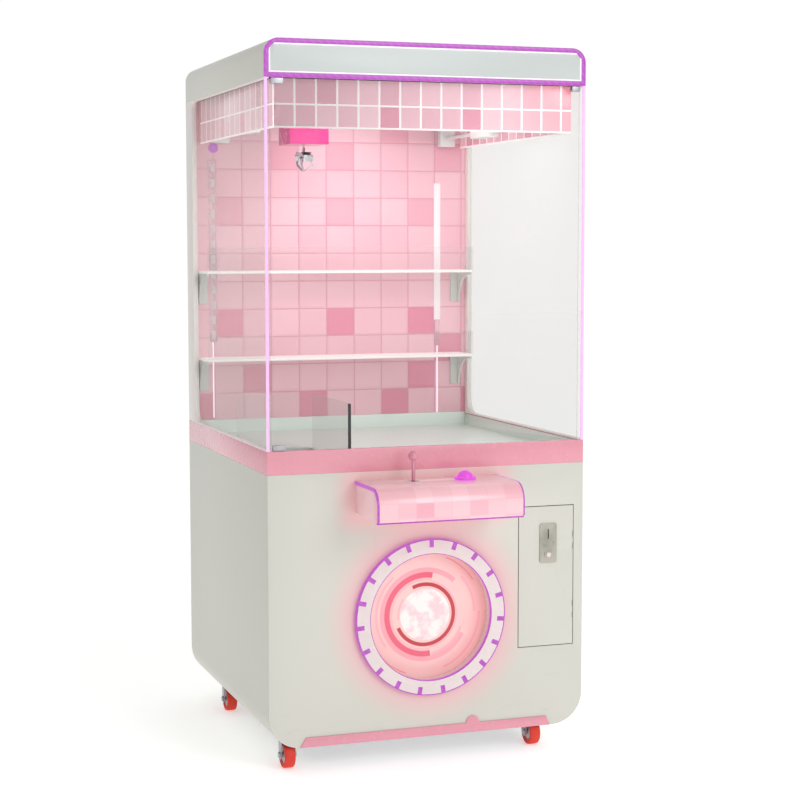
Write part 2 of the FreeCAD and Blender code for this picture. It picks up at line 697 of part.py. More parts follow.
def build_button():
    at = (BUTTON_X, CONTROL_Y)
    underside = CONSOLE_TOP - PLATE
    barrel_low = CONSOLE_TOP - BUTTON_DROP
    skirt = BUTTON_TRAVEL + 1
    bezel = ring("z", at + (CONSOLE_TOP,), BUTTON_BEZEL_R, BUTTON_BODY_R, BUTTON_BEZEL_H)
    well = rod("z", at + (CONSOLE_TOP + 1,), BUTTON_CAP_R + 1, BUTTON_BEZEL_H)
    barrel = rod("z", at + (barrel_low,), BUTTON_BODY_R, CONSOLE_TOP + 1 - barrel_low)
    nut = rod("z", at + (underside - BUTTON_NUT,), BUTTON_BODY_R + BUTTON_NUT, BUTTON_NUT)
    body = fuse([bezel.cut(well), barrel, nut])
    body = body.cut(rod("z", at + (barrel_low,), BUTTON_STEM_R + RUN, HEIGHT))
    save("button_body", body)

    base = CONSOLE_TOP + 1 + skirt
    dome_r = (BUTTON_CAP_R ** 2 + BUTTON_DOME ** 2) / (2 * BUTTON_DOME)
    dome = Part.makeSphere(dome_r, Vector(*at, base + BUTTON_DOME - dome_r))
    dome = dome.common(rod("z", at + (base,), BUTTON_CAP_R, 2 * BUTTON_DOME))
    stem = rod("z", at + (barrel_low,), BUTTON_STEM_R, base - barrel_low)
    save("button_cap", fuse([dome, stem]))


# ---- coin door, rear door and all fixed hinge pieces
def knuckle_spans(z):
    """Lower and upper hinge, each with a middle knuckle on the door."""
    for middle in (z[0] + 2 * HINGE_LONG, z[1] - 2 * HINGE_LONG):
        yield around(middle, HINGE_LONG)


SWING_R = math.hypot(PIN_EDGE, PIN_DEEP)   # door edge round its pin
ARM_DEEP = PIN_DEEP + SWING_R + GAP


def door_plate(x, z, face, inward, pin):
    """Flush door with its knuckles at the +X edge; inward is +1 or -1 along Y."""
    pieces = [box(x, sorted((face, face + inward * SHEET)), z)]
    # stiffening flange along the free edge and the top and bottom
    flange_y = sorted((face, face + inward * FLANGE))
    flange_x = (x[0], x[1] - FLANGE_END)
    pieces.append(box((x[0], x[0] + SHEET), flange_y, z))
    pieces.append(box(flange_x, flange_y, (z[0], z[0] + SHEET)))
    pieces.append(box(flange_x, flange_y, (z[1] - SHEET, z[1])))
    for span in knuckle_spans(z):
        third = (span[1] - span[0]) / 3
        start = (pin[0], pin[1], span[0] + third + GAP)
        pieces.append(rod("z", start, HINGE_KNUCKLE_R, third - 2 * GAP))
    door = fuse(pieces)
    for span in knuckle_spans(z):
        third = (span[1] - span[0]) / 3
        for cut in ((span[0] - GAP, span[0] + third + GAP), (span[1] - third - GAP, span[1] + GAP)):
            relief = rod("z", (pin[0], pin[1], cut[0]), HINGE_KNUCKLE_R + GAP, cut[1] - cut[0])
            door = door.cut(relief)
        bore = rod("z", (pin[0], pin[1], span[0]), HINGE_PIN_R + RUN, span[1] - span[0])
        door = door.cut(bore)
    return door


def door_hinge(z, edge, face, inward, pin):
    """Goose-neck leaves, knuckles and pins that carry a door made by door_plate."""
    back = ARM_DEEP + SHEET
    leaf_y = sorted((face + inward * SHEET, face + inward * back))
    arm_y = sorted((face + inward * ARM_DEEP, face + inward * back))
    neck_y = sorted((pin[1], face + inward * back))
    neck_x = (pin[0] - HINGE_PIN_R - GAP, pin[0] + HINGE_PIN_R)
    solids = []
    for span in knuckle_spans(z):
        third = (span[1] - span[0]) / 3
        for part in ((span[0], span[0] + third), (span[1] - third, span[1])):
            leaf = box((edge, edge + HINGE_LEAF), leaf_y, part)
            arm = box((neck_x[0], edge), arm_y, part)
            neck = box(neck_x, neck_y, part)
            barrel = rod("z", (pin[0], pin[1], part[0]), HINGE_KNUCKLE_R, third)
            bore = rod("z", (pin[0], pin[1], part[0]), HINGE_PIN_R, third)
            solids.append(fuse([leaf, arm, neck, barrel]).cut(bore))
        solids.append(rod("z", (pin[0], pin[1], span[0]), HINGE_PIN_R, span[1] - span[0]))
    return solids


COIN_PIN = (COIN_X[1] - PIN_EDGE, FRONT + PIN_DEEP)
SERVICE_PIN = (SERVICE_X[1] - PIN_EDGE, BACK - PIN_DEEP)
COIN_MID = sum(COIN_PLATE_X) / 2


def build_coin_door():
    door = door_plate(COIN_X, COIN_Z, FRONT, 1, COIN_PIN)
    face = FRONT - PLATE
    slot_x = around(COIN_MID, COIN_SLOT[0])
    slot_z = around(COIN_PLATE_Z[1] - COIN_SLOT_DROP, COIN_SLOT[1])
    slot = box(slot_x, (face, FRONT + PLATE), slot_z)
    button = rod("y", (COIN_MID, face, RETURN_Z), RETURN_R + 2 * RUN, 2 * PLATE)
    save("coin_door", door.cut(slot).cut(button))

    plate = profile([(COIN_PLATE_X[0], COIN_PLATE_Z[0], COIN_PLATE_R),
                     (COIN_PLATE_X[1], COIN_PLATE_Z[0], COIN_PLATE_R),
                     (COIN_PLATE_X[1], COIN_PLATE_Z[1], COIN_PLATE_R),
                     (COIN_PLATE_X[0], COIN_PLATE_Z[1], COIN_PLATE_R)], "y", (face, FRONT))
    boss = ring("y", (COIN_MID, face - BOSS_T, RETURN_Z), RETURN_R + BOSS_R, RETURN_R, BOSS_T)
    plate = plate.cut(slot).cut(button).fuse(boss.cut(button))
    pocket = box(around(COIN_MID, 2 * BOLT_HEAD + MECH_W / 3), (face, FRONT - PLATE / 2),
                 around(sum(COIN_PLATE_Z) / 2, COIN_PLATE_R * 2))
    save("coin_plate", plate.cut(pocket).removeSplitter())

    mech_z = (COIN_Z[0] + MECH_LOW, COIN_PLATE_Z[1] + COIN_SLOT_DROP / 2)
    mech = box(around(COIN_MID, MECH_W), (FRONT + SHEET, FRONT + MECH_DEEP), mech_z)
    mech = mech.cut(box(slot_x, (FRONT, FRONT + MECH_DEEP - SHEET * 10), slot_z))
    stem_r = RETURN_R - STEM_LESS
    stem_bore = rod("y", (COIN_MID, FRONT, RETURN_Z), stem_r + RUN, STEM_LONG + 2 * PLATE)
    relief = rod("y", (COIN_MID, FRONT, RETURN_Z), RETURN_R + GAP, SHEET + 2 * PLATE)
    save("coin_mechanism", mech.cut(stem_bore).cut(relief))

    cap_y = face - CAP_OUT
    cap = rod("y", (COIN_MID, cap_y, RETURN_Z), RETURN_R - 2 * RUN, CAP_OUT + SHEET)
    stem = rod("y", (COIN_MID, FRONT - SHEET, RETURN_Z), stem_r, STEM_LONG + SHEET)
    save("coin_return_button", fuse([cap, stem]))

    box_x = (COIN_X[0] + CASH_IN, COIN_X[1] - CASH_IN)
    box_y = (FRONT + TUBE + FLANGE, FRONT + TUBE + FLANGE + CASH_DEEP)
    box_z = (PAN_TOP, COIN_Z[0] - 2 * PLATE)
    hollow = box((box_x[0] + SHEET, box_x[1] - SHEET), (box_y[0] + SHEET, box_y[1] - SHEET),
                 (box_z[0] + SHEET, box_z[1]))
    save("cash_box", box(box_x, box_y, box_z).cut(hollow))


def build_service_door():
    door = door_plate(SERVICE_X, SERVICE_Z, BACK, -1, SERVICE_PIN)
    lock_at = (SERVICE_X[0] + LOCK_IN, BACK - LOCK_LONG, sum(SERVICE_Z) / 2)
    barrel = rod("y", lock_at, LOCK_R, LOCK_LONG)
    keyway = box(around(lock_at[0], KEYWAY[0]), (BACK - KEYWAY_DEEP, BACK),
                 around(lock_at[2], KEYWAY[1]))
    save("service_door", door.cut(barrel), barrel.cut(keyway))


def build_hinges():
    solids = door_hinge(COIN_Z, COIN_X[1] + DOOR_GAP, FRONT, 1, COIN_PIN)
    solids += door_hinge(SERVICE_Z, SERVICE_X[1] + DOOR_GAP, BACK, -1, SERVICE_PIN)
    solids += flap_hinge()
    pivot_y = FRONT + PANE_SET + GLASS / 2
    for start in (SILL_Z, HEAD_Z - GLASS_PIVOT_LONG):
        solids.append(rod("z", (GLASS_PIVOT_X, pivot_y, start), GLASS_PIVOT_R, GLASS_PIVOT_LONG))
    save("hinge_pins", *solids)


# ---- upper body
def window_outline(inset):
    """Side window opening, open at the front corner; inset shrinks it all round."""
    rear = BACK - FRAME_BACK - inset
    low = WINDOW_Z + inset
    high = HEAD_Z - (WINDOW_Z - SILL_Z) - inset
    start = FRONT + PANE_SET
    return [(start, low, 0), (rear, low, WINDOW_LOW_R - inset),
            (rear, high, WINDOW_HIGH_R - inset), (start, high, 0)]


def build_windows():
    span = (CABIN_X, HALF)
    outer = box(span, (FRONT + PANE_SET, BACK), (SILL_Z, HEAD_Z))
    frame = outer.cut(profile(window_outline(0), "x", span))
    behind = CABIN_BACK + WALL_T + PLATE
    pocket = box((CABIN_X, HALF - SHEET), (behind, BACK - SHEET), (SILL_Z + 20, HEAD_Z - 20))
    frame = frame.cut(pocket)
    save("window_frames", mirror_x(frame), frame)
    pane_x = (HALF - PANE_SET - GLASS, HALF - PANE_SET)
    pane = profile(window_outline(GAP), "x", pane_x)
    save("side_glass", mirror_x(pane), pane)
    strip_x = (HALF - PANE_SET + GAP, HALF - GAP)
    strip = box(strip_x, (FRONT + GAP, FRONT + PANE_SET - GAP), (SILL_Z, HEAD_Z))
    save("corner_strips", mirror_x(strip), strip)


def build_front_glass():
    y = (FRONT + PANE_SET, FRONT + PANE_SET + GLASS)
    side = HALF - PANE_SET - GLASS - 1
    low = SILL_Z + DOOR_GAP
    high = HEAD_Z - DOOR_GAP
    pane = box((-side, side), y, (low, high))
    thick = (y[0] - FITTING_OUT, y[1] + FITTING_OUT)
    notch_x = GLASS_PIVOT_X + FITTING_NOTCH
    fittings = []
    for z in ((low, low + FITTING_TALL), (high - FITTING_TALL, high)):
        pane = pane.cut(box((-side, notch_x), y, z))
        block = box((GLASS_PIVOT_X - FITTING_PAST, GLASS_PIVOT_X + FITTING_GRIP), thick, z)
        slot = box((notch_x, GLASS_PIVOT_X + FITTING_GRIP), y, z)
        bore = rod("z", (GLASS_PIVOT_X, sum(y) / 2, z[0]), GLASS_PIVOT_R + RUN, FITTING_TALL)
        fittings.append(block.cut(slot).cut(bore))
    lock_z = (high - FITTING_TALL, high)
    keeper_x = (side - KEEPER_W, side)
    fittings.append(box(keeper_x, thick, lock_z).cut(box(keeper_x, y, lock_z)))
    save("front_glass", pane)
    save("glass_fittings", *fittings)


def build_back_wall():
    wall = box((-CABIN_X, CABIN_X), (CABIN_BACK, CABIN_BACK + WALL_T), (WINDOW_Z, HEAD_Z))
    save("back_wall", wall)


def build_valances():
    z = (VALANCE_Z, HEAD_Z)
    inner = VALANCE_X - PLATE
    front = box((-inner, inner), (VALANCE_Y, VALANCE_Y + PLATE), z)
    side = box((inner, VALANCE_X), (VALANCE_Y, CABIN_BACK), z)
    save("valances", front, mirror_x(side), side)


def shelf_bracket(x_plate, x_gusset, top):
    """Wall plate and gusset with a concave quarter-round underside."""
    foot = top - BRACKET_TALL
    tip = CABIN_BACK - SHELF_DEEP + LIP_T
    root = CABIN_BACK - 12
    gusset = profile([(CABIN_BACK, top, 0), (tip, top, 0), (tip, top - SHELF_T, 0),
                      (root, top - SHELF_T, BRACKET_CURVE), (root, foot, 0),
                      (CABIN_BACK, foot, 0)], "x", x_gusset)
    plate = box(x_plate, (CABIN_BACK - BRACKET_PLATE_T, CABIN_BACK), (foot, top))
    return fuse([gusset, plate])


def build_shelves():
    shelves = []
    lips = []
    brackets = []
    edge = CABIN_BACK - SHELF_DEEP
    for top in SHELF_TOPS:
        low = top - SHELF_T
        shelves.append(box(SHELF_X, (edge, CABIN_BACK), (low, top)))
        lips.append(box(SHELF_X, (edge - LIP_T, edge), (low, top + LIP_TALL)))
        left, right = SHELF_X
        brackets.append(shelf_bracket((left, left + BRACKET_PLATE_W),
                                      (left, left + BRACKET_GUSSET), low))
        brackets.append(shelf_bracket((right - BRACKET_PLATE_W, right),
                                      (right - BRACKET_GUSSET, right), low))
    save("shelves", *shelves)
    save("shelf_lips", *lips)
    save("shelf_brackets", *brackets)


def build_head():
    roof_y = (FRONT + MARQUEE_DEEP, BACK)
    side = HALF - PLATE
    top = HEIGHT - PLATE
    section = [(-HALF, HEAD_Z, 0), (-HALF, HEIGHT, TOP_R), (HALF, HEIGHT, TOP_R),
               (HALF, HEAD_Z, 0)]
    hollow = [(-side, HEAD_Z, 0), (-side, top, TOP_R - PLATE), (side, top, TOP_R - PLATE),
              (side, HEAD_Z, 0)]
    roof = profile(section, "y", roof_y).cut(profile(hollow, "y", (roof_y[0], BACK - PLATE)))
    save("roof", roof)
    floor_z = (HEAD_Z, HEAD_Z + PLATE)
    save("head_floor", box((-side, side), (roof_y[0], BACK - PLATE), floor_z))

    edge = MARQUEE_EDGE
    low = HEAD_Z + edge
    window = [(-HALF + edge, low, 2), (-HALF + edge, HEIGHT - edge, TOP_R - edge),
              (HALF - edge, HEIGHT - edge, TOP_R - edge), (HALF - edge, low, 2)]
    rim = profile(section, "y", (FRONT, roof_y[0]))
    save("marquee_led", rim.cut(profile(window, "y", (FRONT, roof_y[0]))))
    save("marquee_panel", profile(window, "y", (FRONT + PLATE, roof_y[0])))


# ---- gantry and claw
def build_gantry():
    block_x, block_y, block_z = RAIL_BLOCK
    solids = []
    reach = block_y / 2
    run = (RAIL_Y[0] - reach, RAIL_Y[1] + reach)
    for side in (-1, 1):
        x = side * RAIL_X
        rail = rod("y", (x, run[0], RAIL_Z), RAIL_R, run[1] - run[0])
        solids.append(rail)
        for y in ((RAIL_Y[0] - block_y, RAIL_Y[0]), (RAIL_Y[1], RAIL_Y[1] + block_y)):
            block = box(around(x, block_x), y, around(RAIL_Z, block_z))
            web = box(around(x, block_x), around(sum(y) / 2, 2 * PLATE), (RAIL_Z, HEAD_Z))
            solids.append(fuse([block, web]).cut(rail))
    save("gantry_rails", *solids)

    carriage_x, carriage_y = CARRIAGE
    pieces = []
    rods = []
    for offset in (-BRIDGE_PITCH / 2, BRIDGE_PITCH / 2):
        rods.append(rod("x", (-RAIL_X, CRANE_Y + offset, BRIDGE_Z), BRIDGE_R, 2 * RAIL_X))
    for side in (-1, 1):
        block = box(around(side * RAIL_X, carriage_x), around(CRANE_Y, carriage_y),
                    (RAIL_Z - CARRIAGE_DROP, BRIDGE_Z + CARRIAGE_RISE))
        start = (side * RAIL_X, CRANE_Y - carriage_y, RAIL_Z)
        block = block.cut(rod("y", start, RAIL_R + RUN, 2 * carriage_y))
        pieces.append(block.cut(rods))
    save("bridge", *pieces, *rods)

    trolley_x, trolley_y = TROLLEY
    x = around(CRANE_X, trolley_x)
    y = around(CRANE_Y, trolley_y)
    shell = box(x, y, TROLLEY_Z)
    space = box((x[0] + PLATE, x[1] - PLATE), (y[0] + PLATE, y[1] - PLATE),
                (TROLLEY_Z[0] + PLATE, TROLLEY_Z[1] - PLATE))
    shell = shell.cut(space)
    for offset in (-BRIDGE_PITCH / 2, BRIDGE_PITCH / 2):
        start = (x[0], CRANE_Y + offset, BRIDGE_Z)
        sleeve = rod("x", start, BRIDGE_R + SLEEVE_WALL, trolley_x)
        shell = shell.fuse(sleeve).cut(rod("x", start, BRIDGE_R + RUN, trolley_x))
    outlet = rod("z", (CRANE_X, CRANE_Y, TROLLEY_Z[0]), CORD_R + OUTLET_GAP, PLATE)
    save("trolley_housing", shell.cut(outlet).removeSplitter())

    drum_y = CRANE_Y + DRUM_R + CORD_R
    motor_x = (x[0] + PLATE, CRANE_X - MOTOR_END)
    floor = TROLLEY_Z[0] + PLATE
    motor = rod("x", (motor_x[0], drum_y, DRUM_Z), MOTOR_R, motor_x[1] - motor_x[0])
    foot = box(motor_x, around(drum_y, MOTOR_FOOT_W), (floor, DRUM_Z - MOTOR_R / 2))
    motor = fuse([motor, foot])
    bearing_x = (CRANE_X + MOTOR_END, CRANE_X + MOTOR_END + BEARING[0])
    bearing = box(bearing_x, around(drum_y, BEARING[1]), (floor, DRUM_Z + BEARING_RISE))
    hole = rod("x", (CRANE_X - 2 * MOTOR_R, drum_y, DRUM_Z), DRUM_AXLE_R + RUN, 4 * MOTOR_R)
    save("hoist_motor", motor.cut(hole), bearing.cut(hole))
    half = DRUM_LONG / 2
    drum = rod("x", (CRANE_X - half, drum_y, DRUM_Z), DRUM_R, DRUM_LONG)
    for start in (CRANE_X - half - DRUM_CHEEK, CRANE_X + half):
        cheek = rod("x", (start, drum_y, DRUM_Z), DRUM_R + DRUM_FLANGE, DRUM_CHEEK)
        drum = drum.fuse(cheek)
    axle_at = (CRANE_X - DRUM_AXLE[0], drum_y, DRUM_Z)
    drum = drum.fuse(rod("x", axle_at, DRUM_AXLE_R, sum(DRUM_AXLE)))
    save("hoist_drum", drum.removeSplitter())
    cord = rod("z", (CRANE_X, CRANE_Y, CLAW_TOP), CORD_R - GAP / 2, DRUM_Z - CLAW_TOP)
    save("hoist_cord", cord)


def turned(shape, i):
    """One of the claw's equally spaced pieces, moved from the origin to its place."""
    shape.translate(Vector(CRANE_X, CRANE_Y, 0))
    shape.rotate(Vector(CRANE_X, CRANE_Y, 0), AXES["z"], 360.0 / ARMS * i)
    return shape


def build_claw():
    at = (CRANE_X, CRANE_Y)
    neck = rod("z", at + (COLLAR_Z[1],), NECK_R, CLAW_TOP - COLLAR_Z[1])
    collar = rod("z", at + (COLLAR_Z[0],), COLLAR_R, COLLAR_Z[1] - COLLAR_Z[0])
    body = rod("z", at + (CLAW_BODY_Z,), CLAW_CORE_R, COLLAR_Z[0] - CLAW_BODY_Z)
    cap = rod("z", at + (COLLAR_Z[0] - CLAW_CAP,), CLAW_BODY_R, CLAW_CAP)
    head = [neck, collar, body, cap]
    inner = ARM_T / 2 + GAP
    cheek_x = (CLAW_CORE_R - CHEEK_IN, CLAW_BODY_R)
    cheek_z = (ARM_PIVOT_Z - ARM_HEAD, COLLAR_Z[0] - CHEEK_IN)
    for i in range(ARMS):
        for side in (-1, 1):
            y = sorted((side * inner, side * (inner + CHEEK_T)))
            head.append(turned(box(cheek_x, y, cheek_z), i))
        pin_at = (ARM_PIVOT_R, -inner - CHEEK_T, ARM_PIVOT_Z)
        head.append(turned(rod("y", pin_at, ARM_PIN_R, 2 * (inner + CHEEK_T)), i))
    save("claw_head", fuse(head))

    bend_out, bend_drop, bend_r = ARM_BEND
    crook_drop, crook_r = ARM_CROOK
    knee = CLAW_BODY_R + bend_out
    for i in range(ARMS):
        arm = profile([(ARM_PIVOT_R - ARM_HEAD, ARM_PIVOT_Z + ARM_HEAD, ARM_HEAD_R),
                       (ARM_PIVOT_R + ARM_HEAD, ARM_PIVOT_Z + ARM_HEAD, ARM_HEAD_R),
                       (knee, ARM_PIVOT_Z - bend_drop, bend_r),
                       (ARM_TIP_R, ARM_TIP_Z, 0), (ARM_TIP_R, ARM_TIP_Z + ARM_TOE, 0),
                       (knee - ARM_WIDE, ARM_PIVOT_Z - crook_drop, crook_r)],
                      "y", around(0, ARM_T))
        bore = rod("y", (ARM_PIVOT_R, -ARM_T, ARM_PIVOT_Z), ARM_PIN_R + RUN, 2 * ARM_T)
        save("claw_arm_" + str(i + 1), turned(arm.cut(bore), i))


# ---- electrics
def build_electrics():
    supply = box(SUPPLY_X, SUPPLY_Y, (PAN_TOP, PAN_TOP + SUPPLY_TALL))
    board_z = (PAN_TOP + BOARD_RISE, PAN_TOP + BOARD_RISE + BOARD_T)
    board = [box(BOARD_X, BOARD_Y, board_z)]
    for x in (BOARD_X[0] + BOARD_POST_IN, BOARD_X[1] - BOARD_POST_IN):
        for y in (BOARD_Y[0] + BOARD_POST_IN, BOARD_Y[1] - BOARD_POST_IN):
            board.append(rod("z", (x, y, PAN_TOP), BOARD_POST_R, BOARD_RISE))
    for i in range(4):
        low = BOARD_X[0] + CHIP_FIRST + CHIP_PITCH * i
        chip_y = (BOARD_Y[0] + CHIP_Y, BOARD_Y[0] + CHIP_Y + CHIP[1])
        board.append(box((low, low + CHIP[0]), chip_y, (board_z[1], board_z[1] + CHIP[2])))
    save("electronics", supply, fuse(board))

    inlet = box(INLET_X, (BACK - INLET_DEEP, BACK), INLET_Z)
    recess = box((INLET_X[0] + INLET_WALL, INLET_X[1] - INLET_WALL), (BACK - INLET_RECESS, BACK),
                 (INLET_Z[0] + INLET_WALL, INLET_Z[1] - INLET_WALL))
    pieces = [inlet.cut(recess)]
    middle = (sum(INLET_X) / 2, sum(INLET_Z) / 2)
    blade_y = (BACK - INLET_RECESS - 1, BACK - INLET_WALL)
    for step in (-1, 0, 1):
        rise = BLADE_RISE if step == 0 else -BLADE_RISE
        blade_x = around(middle[0] + step * BLADE_PITCH, BLADE[0])
        pieces.append(box(blade_x, blade_y, around(middle[1] + rise, BLADE[1])))
    save("power_inlet", fuse(pieces))


os.makedirs("parts", exist_ok=True)
build_base()
build_casters()
build_frame()
build_panels()
build_trim_band()
build_playfield()
build_chute_and_bin()
build_round_door()
build_console()
build_joystick()
build_button()
build_coin_door()
build_service_door()
build_hinges()
build_windows()
build_front_glass()
build_back_wall()
build_valances()
build_shelves()
build_head()
build_gantry()
build_claw()
build_electrics()
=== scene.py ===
import json
import math

import bpy
from mathutils import Euler, Matrix, Vector


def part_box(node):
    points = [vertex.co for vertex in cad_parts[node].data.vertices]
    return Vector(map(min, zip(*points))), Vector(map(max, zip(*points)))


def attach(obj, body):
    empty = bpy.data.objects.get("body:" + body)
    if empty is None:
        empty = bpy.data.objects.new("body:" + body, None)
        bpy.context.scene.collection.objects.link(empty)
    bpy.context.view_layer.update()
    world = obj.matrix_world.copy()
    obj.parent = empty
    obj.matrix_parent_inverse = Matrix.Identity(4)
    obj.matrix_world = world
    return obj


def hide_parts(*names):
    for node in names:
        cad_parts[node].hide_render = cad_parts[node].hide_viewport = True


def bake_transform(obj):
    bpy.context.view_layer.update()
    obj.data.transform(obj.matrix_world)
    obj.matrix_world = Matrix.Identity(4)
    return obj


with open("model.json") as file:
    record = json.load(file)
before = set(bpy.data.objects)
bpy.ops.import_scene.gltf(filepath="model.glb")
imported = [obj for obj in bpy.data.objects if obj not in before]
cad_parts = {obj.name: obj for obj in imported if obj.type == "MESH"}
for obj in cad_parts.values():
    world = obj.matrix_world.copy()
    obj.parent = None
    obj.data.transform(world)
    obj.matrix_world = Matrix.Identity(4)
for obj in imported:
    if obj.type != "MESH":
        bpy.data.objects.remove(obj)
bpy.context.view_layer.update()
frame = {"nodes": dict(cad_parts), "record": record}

MM = 0.001
RECORD = frame["record"]


# ---------------------------------------------------------------- colours
def tone(red, green, blue):
    """Linear colour from three 0-255 display values."""
    def linear(value):
        value = value / 255
        return value / 12.92 if value < 0.04045 else ((value + 0.055) / 1.055) ** 2.4
    return (linear(red), linear(green), linear(blue), 1.0)


def times(colour, share):
    """The same hue, lighter or darker."""
    return tuple(min(1.0, part * share) for part in colour[:3]) + (1.0,)


PAINT = tone(212, 212, 202)
TRIM_PINK = tone(238, 160, 176)
LAMP_PURPLE = tone(192, 82, 200)
BLACK = (0.0, 0.0, 0.0, 1.0)


# ---------------------------------------------------------------- shader maths
class Value:
    """A shader socket that can be used in arithmetic."""

    def __init__(self, finish, socket):
        self.finish = finish
        self.socket = socket

    def maths(self, operation, *others):
        values = {0: self}
        for place, other in enumerate(others, 1):
            values[place] = other
        return self.finish.node("ShaderNodeMath", {"operation": operation}, values)

    def __add__(self, other):
        return self.maths("ADD", other)

    def __radd__(self, other):
        return self.maths("ADD", other)

    def __sub__(self, other):
        return self.maths("SUBTRACT", other)

    def __rsub__(self, other):
        return self.maths("MULTIPLY", -1.0).maths("ADD", other)

    def __mul__(self, other):
        return self.maths("MULTIPLY", other)

    def __rmul__(self, other):
        return self.maths("MULTIPLY", other)

    def __truediv__(self, other):
        return self.maths("DIVIDE", other)

    def __pow__(self, other):
        return self.maths("POWER", other)

    def __abs__(self):
        return self.maths("ABSOLUTE")

    def below(self, limit):
        return self.maths("LESS_THAN", limit)

    def above(self, limit):
        return self.maths("GREATER_THAN", limit)

    def floor(self):
        return self.maths("FLOOR")

    def part(self):
        return self.maths("FRACT")

    def most(self, other):
        return self.maths("MAXIMUM", other)

    def least(self, other):
        return self.maths("MINIMUM", other)

    def ease(self, low, high):
        """0 below low, 1 above high, smooth between."""
        settings = {"interpolation_type": "SMOOTHSTEP"}
        return self.finish.node("ShaderNodeMapRange", settings, {0: self, 1: low, 2: high})


class Finish:
    """One procedural material and the nodes that feed its shader."""

    def __init__(self, name, **constants):
        self.material = bpy.data.materials.new(name)
        self.material.use_nodes = True
        self.tree = self.material.node_tree
        self.shader = self.tree.nodes["Principled BSDF"]
        for socket, value in constants.items():
            self.shader.inputs[socket.replace("_", " ")].default_value = value

    def node(self, kind, settings, values, output=0):
        made = self.tree.nodes.new(kind)
        for key, value in settings.items():
            setattr(made, key, value)
        for key, value in values.items():
            if isinstance(value, Value):
                self.tree.links.new(value.socket, made.inputs[key])
            else:
                made.inputs[key].default_value = value
        return Value(self, made.outputs[output])

    def place(self):
        """Object coordinates as three values."""
        where = self.where()
        split = self.tree.nodes.new("ShaderNodeSeparateXYZ")
        self.tree.links.new(where.socket, split.inputs[0])
        return [Value(self, split.outputs[i]) for i in range(3)]

    def where(self):
        return self.node("ShaderNodeTexCoord", {}, {}, "Object")

    def noise(self, scale, detail=3.0, rough=0.5):
        values = {"Vector": self.where(), "Scale": scale, "Detail": detail, "Roughness": rough}
        return self.node("ShaderNodeTexNoise", {}, values)

    def stretched(self, scale, detail=2.0):
        """Noise with its own scale along X, Y and Z."""
        moved = self.node("ShaderNodeMapping", {}, {"Vector": self.where(), "Scale": scale})
        values = {"Vector": moved, "Scale": 1.0, "Detail": detail}
        return self.node("ShaderNodeTexNoise", {}, values)

    def chance(self, x, y):
        """A random value for each whole-number pair."""
        cell = self.node("ShaderNodeCombineXYZ", {}, {0: x, 1: y, 2: 0.0})
        settings = {"noise_dimensions": "3D"}
        return self.node("ShaderNodeTexWhiteNoise", settings, {"Vector": cell}, "Value")

    def mix(self, share, first, second):
        values = {"Factor": share, 6: first, 7: second}
        return self.node("ShaderNodeMix", {"data_type": "RGBA"}, values, 2)

    def feed(self, socket, value):
        self.tree.links.new(value.socket, self.shader.inputs[socket])

    def glow(self, colour, strength):
        self.feed("Emission Color", colour)
        self.shader.inputs["Emission Strength"].default_value = strength

    def bump(self, height, depth, strength=1.0):
        values = {"Height": height, "Distance": depth, "Strength": strength}
        self.feed("Normal", self.node("ShaderNodeBump", {}, values, "Normal"))


# ---------------------------------------------------------------- materials
def painted(name, colour, rough=0.38, grime=0.35, painted_glow=False):
    """Powder-coated sheet: fine orange peel, faint cloudiness and scuffs low down. On the front
    panel, painted pink glow from the ring and console lamps goes into its colour and emission.
    """
    coat = Finish(name, Coat_Weight=0.12, Coat_Roughness=0.3)
    x, y, z = coat.place()
    cloud = coat.noise(2.2, 4.0)
    fine = coat.noise(900.0, 2.0)
    scuff = coat.stretched((18.0, 18.0, 60.0), 5.0).ease(0.62, 0.78)
    low = 1.0 - z.ease(0.06, 0.32)
    dirt = (scuff * 0.6 + cloud.ease(0.45, 0.8) * 0.5) * low * grime
    shade = coat.mix(dirt, coat.mix(cloud, colour, times(colour, 1.03)), times(colour, 0.72))
    # painted light: pink glow of the ring and console lamps painted into the colour and emission
    if painted_glow:
        painted_glow_mask = painted_lamp_glow(coat, x, z)
        shade = coat.mix(painted_glow_mask * 0.8, shade, tone(246, 176, 182))
        coat.glow(coat.mix(painted_glow_mask, BLACK, tone(255, 120, 140)), 0.10)
    coat.feed("Base Color", shade)
    coat.feed("Roughness", rough + cloud * 0.08 + scuff * 0.06)
    coat.bump(fine + cloud * 3.0, 0.00006, 0.5)
    return coat.material


RING_REACH = (-0.01, 0.10)      # from the ring lamp's edge: full painted glow, none
CONSOLE_REACH = 0.075
# share of painted lamp glow on the front panel
PAINTED_GLOW_SHARE = 0.62


def painted_lamp_glow(coat, x, z):
    """How strongly painted glow from the ring and console lamps tints the front panel, 0 to 1."""
    low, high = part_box("prize_ring_led")
    ring_x, ring_z, ring_r = (low.x + high.x) / 2, (low.z + high.z) / 2, (high.x - low.x) / 2
    dx, dz = x - ring_x, z - ring_z
    round_ring = 1.0 - ((dx * dx + dz * dz) ** 0.5).ease(*(ring_r + reach for reach in RING_REACH))
    low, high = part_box("console_led")
    past_x = (abs(x - (low.x + high.x) / 2) - (high.x - low.x) / 2).most(0.0)
    past_z = (abs(z - (low.z + high.z) / 2) - (high.z - low.z) / 2).most(0.0)
    under = 1.0 - ((past_x * past_x + past_z * past_z) ** 0.5).ease(0.0, CONSOLE_REACH)
    return (round_ring * PAINTED_GLOW_SHARE + under * PAINTED_GLOW_SHARE).least(1.0)


